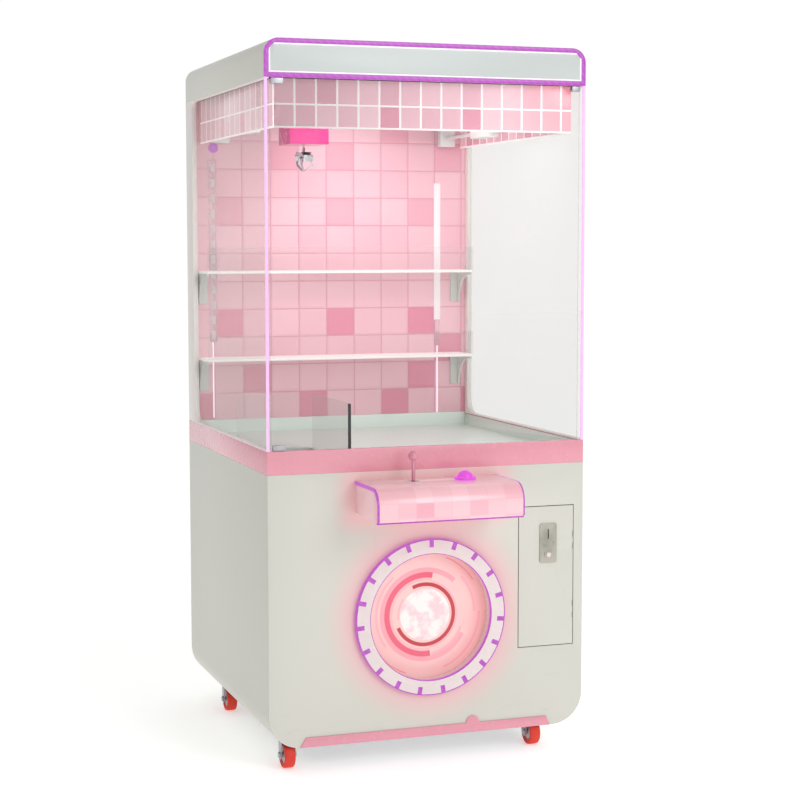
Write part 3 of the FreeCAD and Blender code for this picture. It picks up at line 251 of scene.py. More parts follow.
def moulded(name, colour, rough=0.3, grain=1200.0, depth=0.00004, **constants):
    """Moulded plastic with fine grain, slight colour drift and small handling marks."""
    plastic = Finish(name, **constants)
    drift = plastic.noise(9.0, 3.0)
    rub = plastic.noise(45.0, 5.0).ease(0.55, 0.8)
    plastic.feed("Base Color", plastic.mix(drift * 0.8, colour, times(colour, 0.86)))
    plastic.feed("Roughness", rough + rub * 0.14)
    plastic.bump(plastic.noise(grain, 2.0), depth, 0.6)
    return plastic.material


def brushed(name, colour, rough=0.32, along=(30.0, 30.0, 900.0)):
    """Metal with fine lines across it, stains and soft scratches."""
    metal = Finish(name, Metallic=1.0)
    lines = metal.stretched(along, 3.0)
    stain = metal.noise(14.0, 4.0)
    metal.feed("Base Color", metal.mix(stain.ease(0.4, 0.8), colour, times(colour, 0.7)))
    metal.feed("Roughness", rough + lines * 0.16 + stain * 0.06)
    metal.bump(lines, 0.00003, 0.5)
    return metal.material


def polished(name):
    """Bright plating with finger smears and tiny pits."""
    metal = Finish(name, Metallic=1.0)
    smear = metal.noise(60.0, 4.0)
    pits = metal.noise(1500.0, 1.0).ease(0.68, 0.75)
    metal.feed("Base Color", metal.mix(smear, tone(222, 222, 226), tone(190, 188, 194)))
    metal.feed("Roughness", 0.07 + smear.ease(0.4, 0.75) * 0.14 + pits * 0.2)
    metal.bump(pits, 0.00002, 0.4)
    return metal.material


def clear(name, tint, body, rim):
    """Clear sheet: nearly see-through face on, stronger at a glancing angle, with dust."""
    pane = Finish(name, Roughness=0.04, IOR=1.45)
    dust = pane.noise(6.0, 5.0).ease(0.5, 0.85)
    pane.shader.inputs["Specular IOR Level"].default_value = 0.35
    streak = pane.stretched((40.0, 40.0, 2.5), 3.0).ease(0.55, 0.9)
    facing = pane.node("ShaderNodeFresnel", {}, {"IOR": 1.45})
    alpha = body + facing * rim + dust * 0.015 + streak * 0.01
    pane.feed("Alpha", alpha.least(1.0))
    pane.feed("Base Color", pane.mix(dust * 0.5, tint, tone(236, 232, 232)))
    pane.feed("Roughness", 0.03 + dust * 0.1)
    return pane.material


def lamp(name, colour, strength, spacing=0.022):
    """Diffuser over a row of light points: a little brighter where each point sits."""
    glow = Finish(name, Roughness=0.3, Emission_Strength=strength)
    x, y, z = glow.place()
    wave = ((x + y + z) / spacing).part()
    spot = 1.0 - abs(wave - 0.5) * 2.0
    pale = tuple(c + (1.0 - c) * 0.16 for c in colour[:3]) + (1.0,)
    glow.feed("Emission Color", glow.mix(spot.ease(0.2, 1.0) * 0.4, colour, pale))
    glow.feed("Base Color", glow.mix(glow.noise(30.0) * 0.3, times(colour, 0.22), colour))
    return glow.material


def opal(name, colour, strength, spread=0.35):
    """Back-lit light panel, a little uneven."""
    panel = Finish(name, Roughness=0.3, Emission_Strength=strength)
    cloud = panel.stretched((3.0, 3.0, 9.0), 2.0)
    pale = times(colour, 0.9)
    panel.feed("Emission Color", panel.mix(cloud * spread * 2.0, colour, pale))
    panel.feed("Base Color", panel.mix(cloud, colour, pale))
    panel.bump(panel.noise(700.0), 0.00002, 0.4)
    return panel.material


WALL_PITCH = (0.0921, 0.0880)
WALL_START = (-0.302, 1.7586)
JOINT = (0.472, 0.484)          # share of a tile, from its middle, where the joint starts
WALL_DARK = [(5, -1), (1, 0), (3, 0), (7, 0), (-1, 2), (3, 2), (6, 2), (-1, 6), (3, 6), (6, 6),
             (7, 7), (0, 8), (6, 8), (-2, 9), (2, 9), (5, 9), (8, 9)]
DARK_TILE = tone(230, 142, 166)


def tiled_wall():
    """Square pink tiles with darker joints; some tiles are a stronger pink."""
    wall = Finish("wall_tiles", Coat_Weight=0.2, Coat_Roughness=0.15)
    x, y, z = wall.place()
    across = (x - WALL_START[0]) / WALL_PITCH[0]
    down = (WALL_START[1] - z) / WALL_PITCH[1]
    column, row = across.floor(), down.floor()
    u, v = abs(across.part() - 0.5), abs(down.part() - 0.5)
    edge = u.most(v)
    joint = edge.ease(*JOINT)
    luck = wall.chance(column, row)
    picked = 0.0
    for a, b in WALL_DARK:
        hit = (abs(column - float(a))).below(0.5) * (abs(row - float(b))).below(0.5)
        picked = hit + picked
    cloud = wall.noise(16.0, 4.0)
    face = wall.mix(luck * 0.55 + cloud * 0.35, tone(247, 203, 212), tone(240, 184, 197))
    face = wall.mix(picked * (0.42 + row.above(4.0) * 0.48), face, DARK_TILE)
    colour = wall.mix(joint * 0.75, face, tone(218, 150, 170))
    wall.feed("Base Color", colour)
    wall.feed("Roughness", 0.22 + joint * 0.4 + luck * 0.08)
    pillow = (1.0 - edge.ease(0.40, 0.48)) + wall.noise(7.0) * 0.25
    wall.bump(pillow, 0.0012, 0.5)
    return wall.material


VALANCE_PITCH = 0.0598
VALANCE_JOINT = 1.809
VALANCE_SIDE = (0.448, 0.458)   # share of a tile, from its middle, where the white joint starts
VALANCE_LEVEL = (0.0020, 0.0028)
VALANCE_FOOT = (0.0042, 0.0054)


def tiled_valance():
    """Smaller translucent tiles in two rows with white joints, on three sides; they glow faintly as
    painted light.
    """
    band = Finish("valance_tiles_painted_glow", Coat_Weight=0.25, Coat_Roughness=0.12)
    x, y, z = band.place()
    low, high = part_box("valances")
    run = (x - low.x) + (y - low.y)
    across = run / VALANCE_PITCH
    column = across.floor()
    row = z.above(VALANCE_JOINT)
    side = abs(across.part() - 0.5).ease(*VALANCE_SIDE)
    level = 1.0 - abs(z - VALANCE_JOINT).ease(*VALANCE_LEVEL)
    foot = 1.0 - (z - low.z).ease(*VALANCE_FOOT)
    joint = side.most(level).most(foot)
    luck = band.chance(column, row)
    other = band.chance(column + 17.0, row)
    face = band.mix(luck, tone(234, 196, 204), tone(216, 166, 178))
    face = band.mix(other.above(0.8) * 0.7, face, tone(214, 140, 160))
    right = x.ease(0.22, 0.43) * y.below(low.y + 0.01)
    face = band.mix(right * 0.7, face, tone(252, 160, 170))
    band.feed("Base Color", band.mix(joint, face, tone(250, 244, 244)))
    band.feed("Roughness", 0.18 + joint * 0.3 + luck * 0.06)
    band.bump((1.0 - joint) + band.noise(30.0) * 0.2, 0.0006, 0.5)
    # painted light: the tiles glow to lift their shaded fronts
    band.glow(band.mix(joint, face, tone(250, 240, 240)), 0.36)
    return band.material


PRINT_INK = {"soft": tone(240, 158, 170), "strong": tone(226, 84, 112), "deep": tone(186, 44, 56),
             "grey": tone(170, 132, 138)}
# Broken rings on the prize door: ink, inner and outer radius in mm, strength, turns covered.
PRINT_RINGS = [
    ("soft", 119.0, 133.0, 0.85, 0.128, 0.922),
    ("soft", 96.0, 119.0, 0.45, 0.217, 0.772),
    ("soft", 111.0, 119.0, 0.60, 0.778, 0.944),
    ("strong", 104.0, 120.0, 0.92, 0.217, 0.772),
    ("soft", 90.0, 97.0, 0.60, 0.0, 0.217),
    ("soft", 90.0, 97.0, 0.60, 0.772, 1.0),
    ("deep", 80.0, 91.0, 0.98, 0.0, 0.319),
    ("deep", 80.0, 91.0, 0.98, 0.564, 1.0),
    ("soft", 76.0, 81.0, 0.60, 0.40, 0.52),
    ("strong", 168.0, 172.0, 0.50, 0.089, 0.189),
    ("soft", 160.0, 166.0, 0.70, 0.806, 1.0),
    ("grey", 168.0, 171.0, 0.55, 0.256, 0.294),
    ("soft", 145.0, 152.0, 0.55, 0.0, 0.12),
    ("soft", 140.0, 147.0, 0.50, 0.36, 0.60),
    ("strong", 170.0, 174.0, 0.45, 0.606, 0.697),
]
PRINT_SOFTEN = 1.5
PRINT_X = -0.004
PRINT_MIDDLE = (72.0, 75.0)


def prize_print(centre):
    """Round door skin: soft pink with generic broken rings round a pale middle; the print glows
    faintly as painted light.
    """
    skin = Finish("prize_door_print_painted_glow", Coat_Weight=0.4, Coat_Roughness=0.1)
    x, y, z = skin.place()
    dx, dz = (x - centre[0]) / MM, (z - centre[1]) / MM
    radius = (dx * dx + dz * dz) ** 0.5
    turn = (dz.maths("ARCTAN2", dx) / math.tau).part()
    cloud = skin.noise(14.0, 4.0)
    base = skin.mix(cloud, tone(246, 204, 198), tone(240, 186, 184))
    base = skin.mix(radius.ease(120.0, 180.0) * (x - centre[0]).ease(-0.02, 0.15) * 0.5, base,
                    tone(246, 170, 168))
    for ink, inner, outer, strength, start, end in PRINT_RINGS:
        body = radius.ease(inner - PRINT_SOFTEN, inner + PRINT_SOFTEN)
        body = body * (1.0 - radius.ease(outer - PRINT_SOFTEN, outer + PRINT_SOFTEN))
        body = body * (turn.above(start) * turn.below(end))
        base = skin.mix(body * strength, base, PRINT_INK[ink])
    middle = 1.0 - radius.ease(*PRINT_MIDDLE)
    marble = skin.noise(28.0, 6.0).ease(0.42, 0.62)
    base = skin.mix(middle, base, skin.mix(marble, tone(246, 232, 228), tone(240, 200, 204)))
    skin.feed("Base Color", base)
    # painted light: the printed door glows faintly
    skin.glow(base, 0.18)
    skin.feed("Roughness", 0.2 + cloud * 0.1)
    skin.bump(skin.noise(500.0), 0.00003, 0.4)
    return skin.material


CONSOLE_TILE = (0.0512, 0.0405)


def console_print():
    """White console skin with a faint pink tile print low on its front; it glows faintly as painted
    light.
    """
    skin = Finish("console_skin_painted_glow", Coat_Weight=0.35, Coat_Roughness=0.12)
    x, y, z = skin.place()
    low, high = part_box("console_shell")
    across = (x - low.x) / CONSOLE_TILE[0]
    down = (high.z - z) / CONSOLE_TILE[1]
    edge = abs(across.part() - 0.5).most(abs(down.part() - 0.5))
    joint = edge.ease(0.45, 0.48)
    luck = skin.chance(across.floor(), down.floor())
    front = 1.0 - (y - low.y).ease(0.02, 0.07)
    cloud = skin.noise(10.0, 4.0)
    plain = skin.mix(cloud, tone(250, 216, 220), tone(244, 204, 210))
    tile = skin.mix(luck * luck, tone(248, 194, 201), tone(230, 156, 172))
    shade = skin.mix(joint * 0.5, tile, tone(236, 178, 190))
    skin.feed("Base Color", skin.mix(front * 0.85, plain, shade))
    # painted light: the console skin glows faintly
    skin.glow(skin.mix(front, plain, shade), 0.12)
    skin.feed("Roughness", 0.2 + cloud * 0.1)
    skin.bump(skin.noise(800.0), 0.00003, 0.5)
    return skin.material


def tray_skin():
    """White laminate floor of the cabin with light scuffs from prizes."""
    skin = Finish("tray_laminate", Coat_Weight=0.08, Coat_Roughness=0.2)
    scratch = skin.stretched((160.0, 14.0, 14.0), 5.0).ease(0.62, 0.75)
    other = skin.stretched((14.0, 160.0, 14.0), 5.0).ease(0.64, 0.77)
    cloud = skin.noise(5.0, 4.0)
    marks = scratch.most(other)
    base = skin.mix(cloud, tone(228, 240, 232), tone(220, 232, 224))
    skin.feed("Base Color", skin.mix(marks * 0.2, base, tone(186, 196, 190)))
    skin.feed("Roughness", 0.38 + marks * 0.2 + cloud * 0.05)
    skin.bump(marks, 0.00004, 0.4)
    return skin.material


def rubber(name, colour):
    """Wheel tread: matt, dusty at the rim, with fine moulding grain."""
    tread = Finish(name)
    dust = tread.noise(70.0, 5.0)
    tread.feed("Base Color", tread.mix(dust.ease(0.5, 0.85) * 0.5, colour, times(colour, 0.6)))
    tread.feed("Roughness", 0.5 + dust * 0.25)
    tread.bump(tread.noise(900.0, 3.0), 0.00008, 0.6)
    return tread.material


def board_finish():
    """Green circuit board with copper traces, and dark parts on top."""
    board = Finish("circuit_board", Roughness=0.4)
    x, y, z = board.place()
    lines = abs((x / 0.004).part() - 0.5).below(0.12).most(abs((y / 0.006).part() - 0.5).below(0.1))
    top = z.above(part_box("base_pan")[1].z + 0.0165)
    green = board.mix(lines * board.noise(60.0).ease(0.4, 0.6), tone(18, 84, 48), tone(70, 130, 70))
    metal = x.below(0.03)
    base = board.mix(top, green, tone(28, 28, 30))
    board.feed("Base Color", board.mix(metal, base, tone(180, 182, 184)))
    board.feed("Metallic", metal * 0.9)
    return board.material


def build_finishes():
    white = tone(240, 239, 236)
    return {
        "paint": painted("white_powder_coat", PAINT),
        # front panel: powder coat with painted lamp glow
        "paint_front": painted("front_powder_coat_painted_glow", PAINT, painted_glow=True),
        "paint_head": painted("head_powder_coat", PAINT, 0.36, 0.0),
        "pink": moulded("pink_trim", TRIM_PINK, 0.26, 700.0, 0.00005, Coat_Weight=0.3),
        "frame": painted("frame_paint", tone(170, 172, 172), 0.45),
        "zinc": brushed("zinc_plate", tone(182, 183, 188)),
        "satin_steel": brushed("coin_plate_steel", tone(182, 179, 168), 0.3, (30.0, 30.0, 700.0)),
        "wheel": rubber("wheel_red", tone(222, 58, 40)),
        "wheel_core": moulded("wheel_core", tone(226, 200, 208), 0.35),
        "glass": clear("cabin_glass", tone(196, 200, 190), 0.012, 0.22),
        "acrylic": clear("clear_acrylic", tone(214, 206, 206), 0.07, 0.18),
        "black": moulded("black_trim", tone(18, 18, 20), 0.4),
        "wall": tiled_wall(),
        "valance": tiled_valance(),
        "lamp": lamp("purple_lamp", LAMP_PURPLE, 0.62),
        "corner": lamp("corner_lamp", tone(240, 190, 240), 0.78, 0.03),
        "opal": opal("light_panel", tone(200, 207, 204), 0.05),
        "line": opal("light_line", tone(255, 236, 252), 0.55, 0.1),
        "magenta": moulded("crane_magenta", tone(204, 44, 128), 0.22, 900.0, 0.00003,
                           Coat_Weight=0.5),
        "chrome": polished("bright_chrome"),
        "cord": moulded("nylon_cord", tone(228, 226, 222), 0.6, 2500.0, 0.0001),
        # painted light: the shelves glow white
        "shelf": moulded("shelf_white", white, 0.3, Emission_Color=white, Emission_Strength=0.34),
        "liner": moulded("liner_white", tone(222, 220, 216), 0.35),
        "post": painted("window_post_paint", tone(236, 230, 226), 0.4, 0.0),
        "bracket": moulded("bracket_grey", tone(214, 214, 210), 0.4),
        "rail": moulded("gantry_white", tone(232, 233, 230), 0.32),
        "print": prize_print((PRINT_X, sum(corner.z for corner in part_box("prize_ring")) / 2)),
        # painted light: faint pink glow that lifts the shaded ring recess
        "ring": moulded("ring_face_painted_glow", tone(226, 220, 218), 0.24, 900.0, 0.00003, Coat_Weight=0.4,
                        Emission_Color=tone(255, 150, 165), Emission_Strength=0.08),
        "console": console_print(),
        "tray": tray_skin(),
        "button": lamp("button_glow", tone(222, 74, 214), 0.8, 0.012),
        "ball": moulded("joystick_ball", tone(238, 158, 178), 0.12, 600.0, 0.00002,
                        Transmission_Weight=0.12, Coat_Weight=0.6),
        "rose": brushed("rose_plating", tone(222, 158, 174), 0.22, (30.0, 30.0, 500.0)),
        "board": board_finish(),
        "frost": clear("frosted_strip", tone(255, 236, 242), 0.30, 0.2),
        "mark": clear("frosted_mark", tone(255, 246, 250), 0.55, 0.2),
        "milk": opal("milky_strip", tone(236, 226, 228), 0.22, 0.3),
    }


FINISH = build_finishes()


# ---------------------------------------------------------------- modelling helpers
FLATTER = math.radians(32.0)    # faces that meet flatter than this shade as one
WELD = 1e-6
SAME_FACE = math.radians(0.4)


def deselect():
    if bpy.context.object and bpy.context.object.mode != "OBJECT":
        bpy.ops.object.mode_set(mode="OBJECT")
    bpy.ops.object.select_all(action="DESELECT")


def work_on(piece):
    deselect()
    piece.select_set(True)
    bpy.context.view_layer.objects.active = piece


def place_in_mesh(piece):
    work_on(piece)
    bpy.ops.object.transform_apply(location=True, rotation=True, scale=True)


def paint(piece, finish):
    piece.data.materials.clear()
    piece.data.materials.append(FINISH[finish])


def round_edges(piece, width, segments=2, angle=35.0):
    """Bevel every sharp edge and smooth the rest."""
    work_on(piece)
    if width:
        bevel = piece.modifiers.new("edges", "BEVEL")
        bevel.width = width
        bevel.segments = segments
        bevel.limit_method = "ANGLE"
        bevel.angle_limit = math.radians(angle)
        bevel.use_clamp_overlap = True
        bpy.ops.object.modifier_apply(modifier=bevel.name)
    bpy.ops.object.shade_smooth_by_angle(angle=FLATTER)


def finish_piece(piece, name, finish, body="cabinet", replaces=()):
    """Name, paint and declare a piece; a piece that bends between two bodies has no body here."""
    piece.name = name
    piece.data.name = name
    paint(piece, finish)
    if replaces:
        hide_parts(*replaces)
    if body:
        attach(piece, body)
    return piece


BODY_OF = {n: b for b, nodes in RECORD["behaviour"]["bodies"].items() for n in nodes}


def welded(node):
    """A welded copy of a CAD node, with its flat faces joined up."""
    deselect()
    piece = frame["nodes"][node].copy()
    piece.data = piece.data.copy()
    bpy.context.scene.collection.objects.link(piece)
    piece.parent = None
    for key in list(piece.keys()):
        del piece[key]
    work_on(piece)
    bpy.ops.object.mode_set(mode="EDIT")
    bpy.ops.mesh.select_all(action="SELECT")
    bpy.ops.mesh.remove_doubles(threshold=WELD)
    bpy.ops.mesh.dissolve_limited(angle_limit=SAME_FACE)
    bpy.ops.object.mode_set(mode="OBJECT")
    return piece


def dress(node, finish, width=0.0008, segments=2):
    """Stand-in for a CAD node: the same solid with rounded edges and its own finish."""
    piece = welded(node)
    round_edges(piece, width, segments)
    return finish_piece(piece, node + "_skin", finish, BODY_OF[node], (node,))


def plain(node, finish):
    """Keep the CAD node and give it a finish."""
    paint(frame["nodes"][node], finish)


def block(low, high):
    """Cube primitive stretched to a box."""
    deselect()
    low, high = Vector(low), Vector(high)
    bpy.ops.mesh.primitive_cube_add(size=1.0, location=(low + high) / 2)
    piece = bpy.context.object
    piece.scale = high - low
    place_in_mesh(piece)
    return piece


def lathe(outline, centre, axis, steps=64):
    """Spin an (radius, height) outline round an axis through centre."""
    turn = {"x": Euler((0, math.pi / 2, 0)), "y": Euler((-math.pi / 2, 0, 0)), "z": Euler()}[axis]
    deselect()
    bpy.ops.mesh.primitive_plane_add(size=0.001, location=(0, 0, 0))
    piece = bpy.context.object
    bpy.ops.object.mode_set(mode="EDIT")
    bpy.ops.mesh.select_all(action="SELECT")
    bpy.ops.mesh.merge(type="CENTER")
    bpy.ops.transform.translate(value=(outline[0][0], 0, outline[0][1]))
    for before, after in zip(outline, outline[1:]):
        step = (after[0] - before[0], 0, after[1] - before[1])
        bpy.ops.mesh.extrude_region_move(TRANSFORM_OT_translate={"value": step})
    bpy.ops.mesh.select_all(action="SELECT")
    bpy.ops.mesh.spin(steps=steps, angle=math.tau, center=(0, 0, 0), axis=(0, 0, 1))
    bpy.ops.mesh.select_all(action="SELECT")
    bpy.ops.mesh.remove_doubles(threshold=WELD)
    bpy.ops.mesh.normals_make_consistent(inside=False)
    bpy.ops.object.mode_set(mode="OBJECT")
    piece.rotation_euler = turn
    piece.location = centre
    place_in_mesh(piece)
    return piece


def arc(radius, start, end, count):
    """Points on an arc round the origin, angles in degrees, as (radius, height) pairs."""
    angles = [math.radians(start + (end - start) * i / count) for i in range(count + 1)]
    return [(radius * math.cos(angle), radius * math.sin(angle)) for angle in angles]


def mirrored(half):
    """A whole wheel outline from its half: (radius, width) pairs at -width, then back at +width."""
    return [(r, -w) for r, w in half] + [(r, w) for r, w in reversed(half)]


# ---------------------------------------------------------------- cabinet
CORE = 0.62                     # wheel core's radius, as a share of the wheel's
TREAD = ((0.86, 0.98), (0.95, 0.90), (0.995, 0.62))
HUB = ((0.20, 0.80), (0.26, 0.66), (0.54, 0.60))
AXLE_HOLE_R = 0.0057
TREAD_LAP = 0.0004


def wheel(node, body):
    """Red tread with rounded shoulders, a sunk pale face and a hub boss.

    TREAD and HUB are shares of the wheel's radius and of its half width.
    """
    low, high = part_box(node)
    centre = (low + high) / 2
    width = (high.x - low.x) / 2
    r = (high.z - low.z) / 2
    tread = [(r * CORE, width * 0.80)] + [(r * a, width * b) for a, b in TREAD]
    tyre = lathe(mirrored(tread), centre, "x", 48)
    round_edges(tyre, 0.0006)
    finish_piece(tyre, node + "_tread", "wheel", body, (node,))
    hub = [(AXLE_HOLE_R, width * 0.72)] + [(r * a, width * b) for a, b in HUB]
    hub.append((r * CORE + TREAD_LAP, width * 0.74))
    disc = lathe(mirrored(hub), centre, "x", 48)
    round_edges(disc, 0.0004)
    finish_piece(disc, node + "_core", "wheel_core", body)


def build_shell():
    """Painted sheet panels, trim, frame and roof."""
    dress("front_panel", "paint_front", 0.0010)
    dress("side_panels", "paint", 0.0012, 3)
    dress("rear_panels", "paint", 0.0008)
    dress("roof", "paint_head", 0.0015, 3)
    dress("service_door", "paint", 0.0010)
    dress("pink_trim", "pink", 0.0006)
    dress("marquee_panel", "opal", 0.0006)
    plain("base_pan", "zinc")
    plain("cabinet_frame", "frame")
    plain("caster_brackets", "zinc")
    plain("head_floor", "paint_head")
    plain("power_inlet", "black")
    plain("electronics", "board")
    plain("hinge_pins", "zinc")
    for side in ("front_left", "front_right", "rear_left", "rear_right"):
        wheel("wheel_" + side, "wheel_" + side)


def build_lamps():
    """Purple edge lamps, the two corner strips and the ring lamp."""
    dress("marquee_led", "lamp", 0.0008)
    dress("console_led", "lamp", 0.0006)
    dress("prize_ring_led", "lamp", 0.0004)
    dress("corner_strips", "corner", 0.0015, 3)
    build_marquee_lines()


LINE_IN = 0.0135                # white line, in from the head lamp's outer edge
LINE_WIDE = 0.0026
LINE_PROUD = 0.0022
SUNK = 0.0004                   # how far a surface piece reaches into what it sits on


def build_marquee_lines():
    """White lines just inside the head lamp, along its four sides."""
    low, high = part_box("marquee_led")
    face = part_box("marquee_panel")[0].y
    left, right = low.x + LINE_IN, high.x - LINE_IN
    foot, top = low.z + LINE_IN, high.z - LINE_IN
    sides = [((left, top - LINE_WIDE), (right, top)),
             ((left, foot), (right, foot + LINE_WIDE)),
             ((left, foot), (left + LINE_WIDE, top)),
             ((right - LINE_WIDE, foot), (right, top))]
    for index, (start, end) in enumerate(sides, 1):
        line = block((start[0], face - LINE_PROUD, start[1]), (end[0], face + SUNK, end[1]))
        round_edges(line, 0.0006)
        finish_piece(line, "marquee_line_%d" % index, "line", "cabinet")


def build_cabin():
    """Panes, tile wall, valances, shelves, tray and chute."""
    for node in ("front_glass", "side_glass"):
        plain(node, "glass")
    dress("glass_fittings", "zinc", 0.0008)
    dress("window_frames", "post", 0.0008)
    dress("back_wall", "wall", 0.0010)
    dress("valances", "valance", 0.0006)
    dress("playfield_tray", "tray", 0.0008)
    dress("prize_chute", "liner", 0.0006)
    plain("chute_guard", "acrylic")
    dress("chute_guard_edge", "black", 0.0006)
    dress("shelves", "shelf", 0.0012, 3)
    plain("shelf_lips", "acrylic")
    dress("shelf_brackets", "bracket", 0.0008)
    dress("prize_bin", "liner", 0.0010)


# Strips on the tile wall: name, middle in X, foot, top, width, depth, finish.
WALL_STRIPS = [
    ("wall_line_left", -0.399, 0.890, 1.128, 0.004, 0.003, "line"),
    ("wall_line_right", 0.351, 0.884, 1.104, 0.004, 0.003, "line"),
    ("wall_strip_left", -0.397, 1.130, 1.700, 0.026, 0.002, "frost"),
    ("wall_strip_right", 0.351, 1.190, 1.632, 0.022, 0.002, "milk"),
    ("wall_strip_right_foot", 0.351, 1.106, 1.188, 0.018, 0.002, "frost"),
]
DASHES = 12
DASH_FIRST = 1.138
DASH_STEP = 0.0475
DASH_LONG = 0.026
LAMP_DOT = (-0.393, 1.735)
LAMP_LENS = [(0.0, 0.0), (0.0152, 0.0), (0.0152, -0.0016), (0.0128, -0.0034), (0.0, -0.0046)]


def wall_strip(name, x, foot, top, width, depth, finish):
    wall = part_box("back_wall")[0].y
    strip = block((x - width / 2, wall - depth, foot), (x + width / 2, wall + SUNK, top))
    round_edges(strip, min(width, depth) * 0.3)
    return finish_piece(strip, name, finish, "cabinet")


def build_wall_lights():
    """Frosted strips and thin light lines on the tile wall, and a round lamp over the left one."""
    for strip in WALL_STRIPS:
        wall_strip(*strip)
    for index in range(DASHES):
        foot = DASH_FIRST + index * DASH_STEP
        name = "wall_dash_%02d" % (index + 1)
        wall_strip(name, -0.397, foot, foot + DASH_LONG, 0.013, 0.003, "mark")
    lens = lathe(LAMP_LENS, (LAMP_DOT[0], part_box("back_wall")[0].y, LAMP_DOT[1]), "y", 32)
    round_edges(lens, 0.0003)
    finish_piece(lens, "wall_dot", "lamp", "cabinet")


def build_prize_door():
    """Ring and printed flap."""
    dress("prize_ring", "ring", 0.0012, 3)
    dress("prize_flap", "print", 0.0006)


BALL_HOLE_R = 0.0044


def build_controls():
    """Console, joystick and play button."""
    dress("console_shell", "console", 0.0010, 3)
    plain("joystick_base", "ring")
    plain("joystick_gimbal", "black")
    plain("joystick_stick", "rose")
    low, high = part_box("joystick_ball")
    centre = (low + high) / 2
    r = (high.z - low.z) / 2
    ball = lathe([(BALL_HOLE_R, -r * 0.97)] + arc(r, -76, 90, 24)[1:], centre, "z", 48)
    work_on(ball)
    bpy.ops.object.shade_smooth()
    finish_piece(ball, "joystick_ball_skin", "ball", "joystick",
                 ("joystick_ball",))
    dress("button_body", "button", 0.0010, 3)
    dress("button_cap", "button", 0.0012, 3)


def build_coin_door():
    """Coin door, its plate and works."""
    dress("coin_door", "paint", 0.0010, 3)
    dress("coin_plate", "satin_steel", 0.0008, 3)
    dress("coin_return_button", "ring", 0.0006)
    plain("coin_mechanism", "black")
    plain("cash_box", "zinc")


def build_gantry():
    """Rails, bridge, trolley, motor, drum and claw."""
    dress("gantry_rails", "rail", 0.0012, 3)
    dress("bridge", "rail", 0.0010)
    dress("trolley_housing", "magenta", 0.0025, 4)
    plain("hoist_motor", "zinc")
    plain("hoist_drum", "black")
    dress("claw_head", "chrome", 0.0006)
    for index in (1, 2, 3):
        dress("claw_arm_%d" % index, "chrome", 0.0006)


CORD_RINGS = 12


def build_cord():
    """Hoist cord from the drum down to the claw; it is given no body."""
    low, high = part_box("hoist_cord")
    centre = (low + high) / 2
    radius, half = (high.x - low.x) / 2, (high.z - low.z) / 2
    side = [(radius, half * (2.0 * i / CORD_RINGS - 1.0)) for i in range(CORD_RINGS + 1)]
    cord = lathe([(0.0, -half)] + side + [(0.0, half)], centre, "z", 16)
    work_on(cord)
    bpy.ops.object.shade_smooth_by_angle(angle=FLATTER)
    finish_piece(cord, "hoist_cord_skin", "cord", None, ("hoist_cord",))
    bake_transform(cord)


build_shell()
build_lamps()
build_cabin()
build_wall_lights()
build_prize_door()
build_controls()
build_coin_door()
build_gantry()
build_cord()


# ---------------------------------------------------------------- studio
AIM = (0, 0, 0.9)
CABIN_LAMP_WIDE = 0.7
BACKDROP = 1.02
CAMERA_AT = (-1.7203, -5.0899, 1.4388)
CAMERA_TURNS = ((-19.11, "Z"), (85.083, "X"), (-0.07, "Z"))
CAMERA_LENS = 82.09


def area_lamp(name, place, aim, size, power, colour=(1, 1, 1), seen=True, tall=None):
    """Soft lamp that the camera doesn't see: a disc, or a rectangle where tall is given."""
    data = bpy.data.lights.new(name, "AREA")
    data.shape = "RECTANGLE" if tall else "DISK"
    data.size = size
    if tall:
        data.size_y = tall
    data.energy = power
    data.color = colour
    lamp_object = bpy.data.objects.new(name, data)
    bpy.context.scene.collection.objects.link(lamp_object)
    lamp_object.location = place
    lamp_object.rotation_euler = (Vector(aim) - Vector(place)).to_track_quat("-Z", "Y").to_euler()
    lamp_object.visible_camera = False
    lamp_object.visible_glossy = seen


def cabin_lights():
    """Soft light from under the head, as the strip lights behind the valances give."""
    low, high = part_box("playfield_tray")
    middle = ((low.x + high.x) / 2, (low.y + high.y) / 2, low.z)
    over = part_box("head_floor")[0].z - 0.012
    area_lamp("cabin_front", (middle[0], low.y + 0.10, over - 0.05), (middle[0], high.y, 1.25),
              CABIN_LAMP_WIDE, 1.5, (1.0, 0.90, 0.93), False, 0.10)
    area_lamp("cabin_middle", (middle[0], middle[1], over), middle, CABIN_LAMP_WIDE, 3.0,
              (1.0, 0.93, 0.95), False)


def ramp(tree, source, start, end):
    """A smooth step of one world socket, from start (place, value) to end (place, value)."""
    step = tree.nodes.new("ShaderNodeMapRange")
    step.interpolation_type = "SMOOTHSTEP"
    for socket, value in zip(("From Min", "To Min", "From Max", "To Max"), start + end):
        step.inputs[socket].default_value = value
    tree.links.new(source, step.inputs["Value"])
    return step.outputs["Result"]


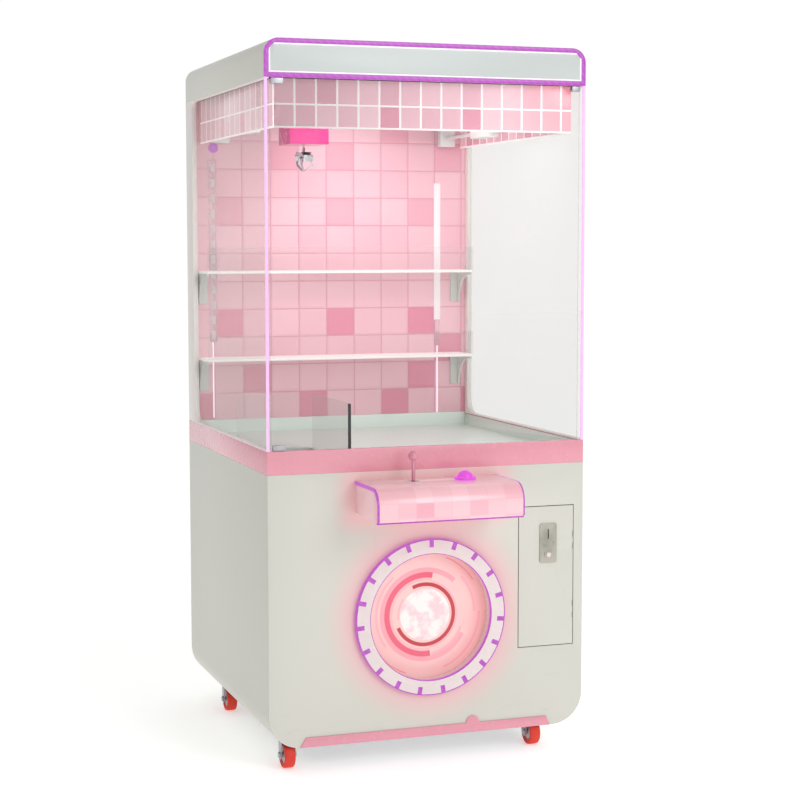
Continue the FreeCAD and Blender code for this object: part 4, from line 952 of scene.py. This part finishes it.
def build_sky():
    """Soft surround: bright behind the object, softer in front of it and dimmer on its left.

    The camera itself sees an even white backdrop.
    """
    world = bpy.data.worlds.new("studio")
    world.use_nodes = True
    tree = world.node_tree
    where = tree.nodes.new("ShaderNodeTexCoord")
    split = tree.nodes.new("ShaderNodeSeparateXYZ")
    tree.links.new(where.outputs["Generated"], split.inputs[0])
    both = tree.nodes.new("ShaderNodeMath")
    both.operation = "MULTIPLY"
    tree.links.new(ramp(tree, split.outputs["Y"], (0.1, 0.60), (0.8, BACKDROP)), both.inputs[0])
    tree.links.new(ramp(tree, split.outputs["X"], (-0.8, 0.55), (0.0, 1.0)), both.inputs[1])
    path = tree.nodes.new("ShaderNodeLightPath")
    shown = tree.nodes.new("ShaderNodeMix")
    shown.inputs["B"].default_value = BACKDROP
    tree.links.new(path.outputs["Is Camera Ray"], shown.inputs["Factor"])
    tree.links.new(both.outputs[0], shown.inputs["A"])
    background = tree.nodes["Background"]
    background.inputs["Color"].default_value = (1.0, 1.0, 1.0, 1.0)
    tree.links.new(shown.outputs["Result"], background.inputs["Strength"])
    bpy.context.scene.world = world
    bpy.context.scene.view_settings.view_transform = "Standard"


def build_floor():
    deselect()
    bpy.ops.mesh.primitive_plane_add(size=60, location=(0, 0, 0))
    floor = bpy.context.object
    floor.name = "studio_floor"
    ground = Finish("studio_floor", Roughness=0.9, Emission_Strength=0.40)
    ground.shader.inputs["Emission Color"].default_value = (1.0, 1.0, 1.0, 1.0)
    spots = ground.mix(ground.noise(0.4), tone(253, 253, 252), tone(251, 251, 250))
    ground.feed("Base Color", spots)
    floor.data.materials.append(ground.material)


def build_camera():
    data = bpy.data.cameras.new("camera")
    data.lens = CAMERA_LENS
    data.sensor_width = 36.0
    camera = bpy.data.objects.new("camera", data)
    bpy.context.scene.collection.objects.link(camera)
    camera.location = CAMERA_AT
    turn = Matrix()
    for angle, axis in CAMERA_TURNS:
        turn = turn @ Matrix.Rotation(math.radians(angle), 4, axis)
    camera.rotation_euler = turn.to_euler()
    bpy.context.scene.camera = camera


build_floor()
build_sky()
area_lamp("key", (1.6, -4.6, 3.2), AIM, 2.6, 60)
area_lamp("fill", (0.3, -4.8, 1.6), AIM, 2.4, 12)
cabin_lights()
build_camera()
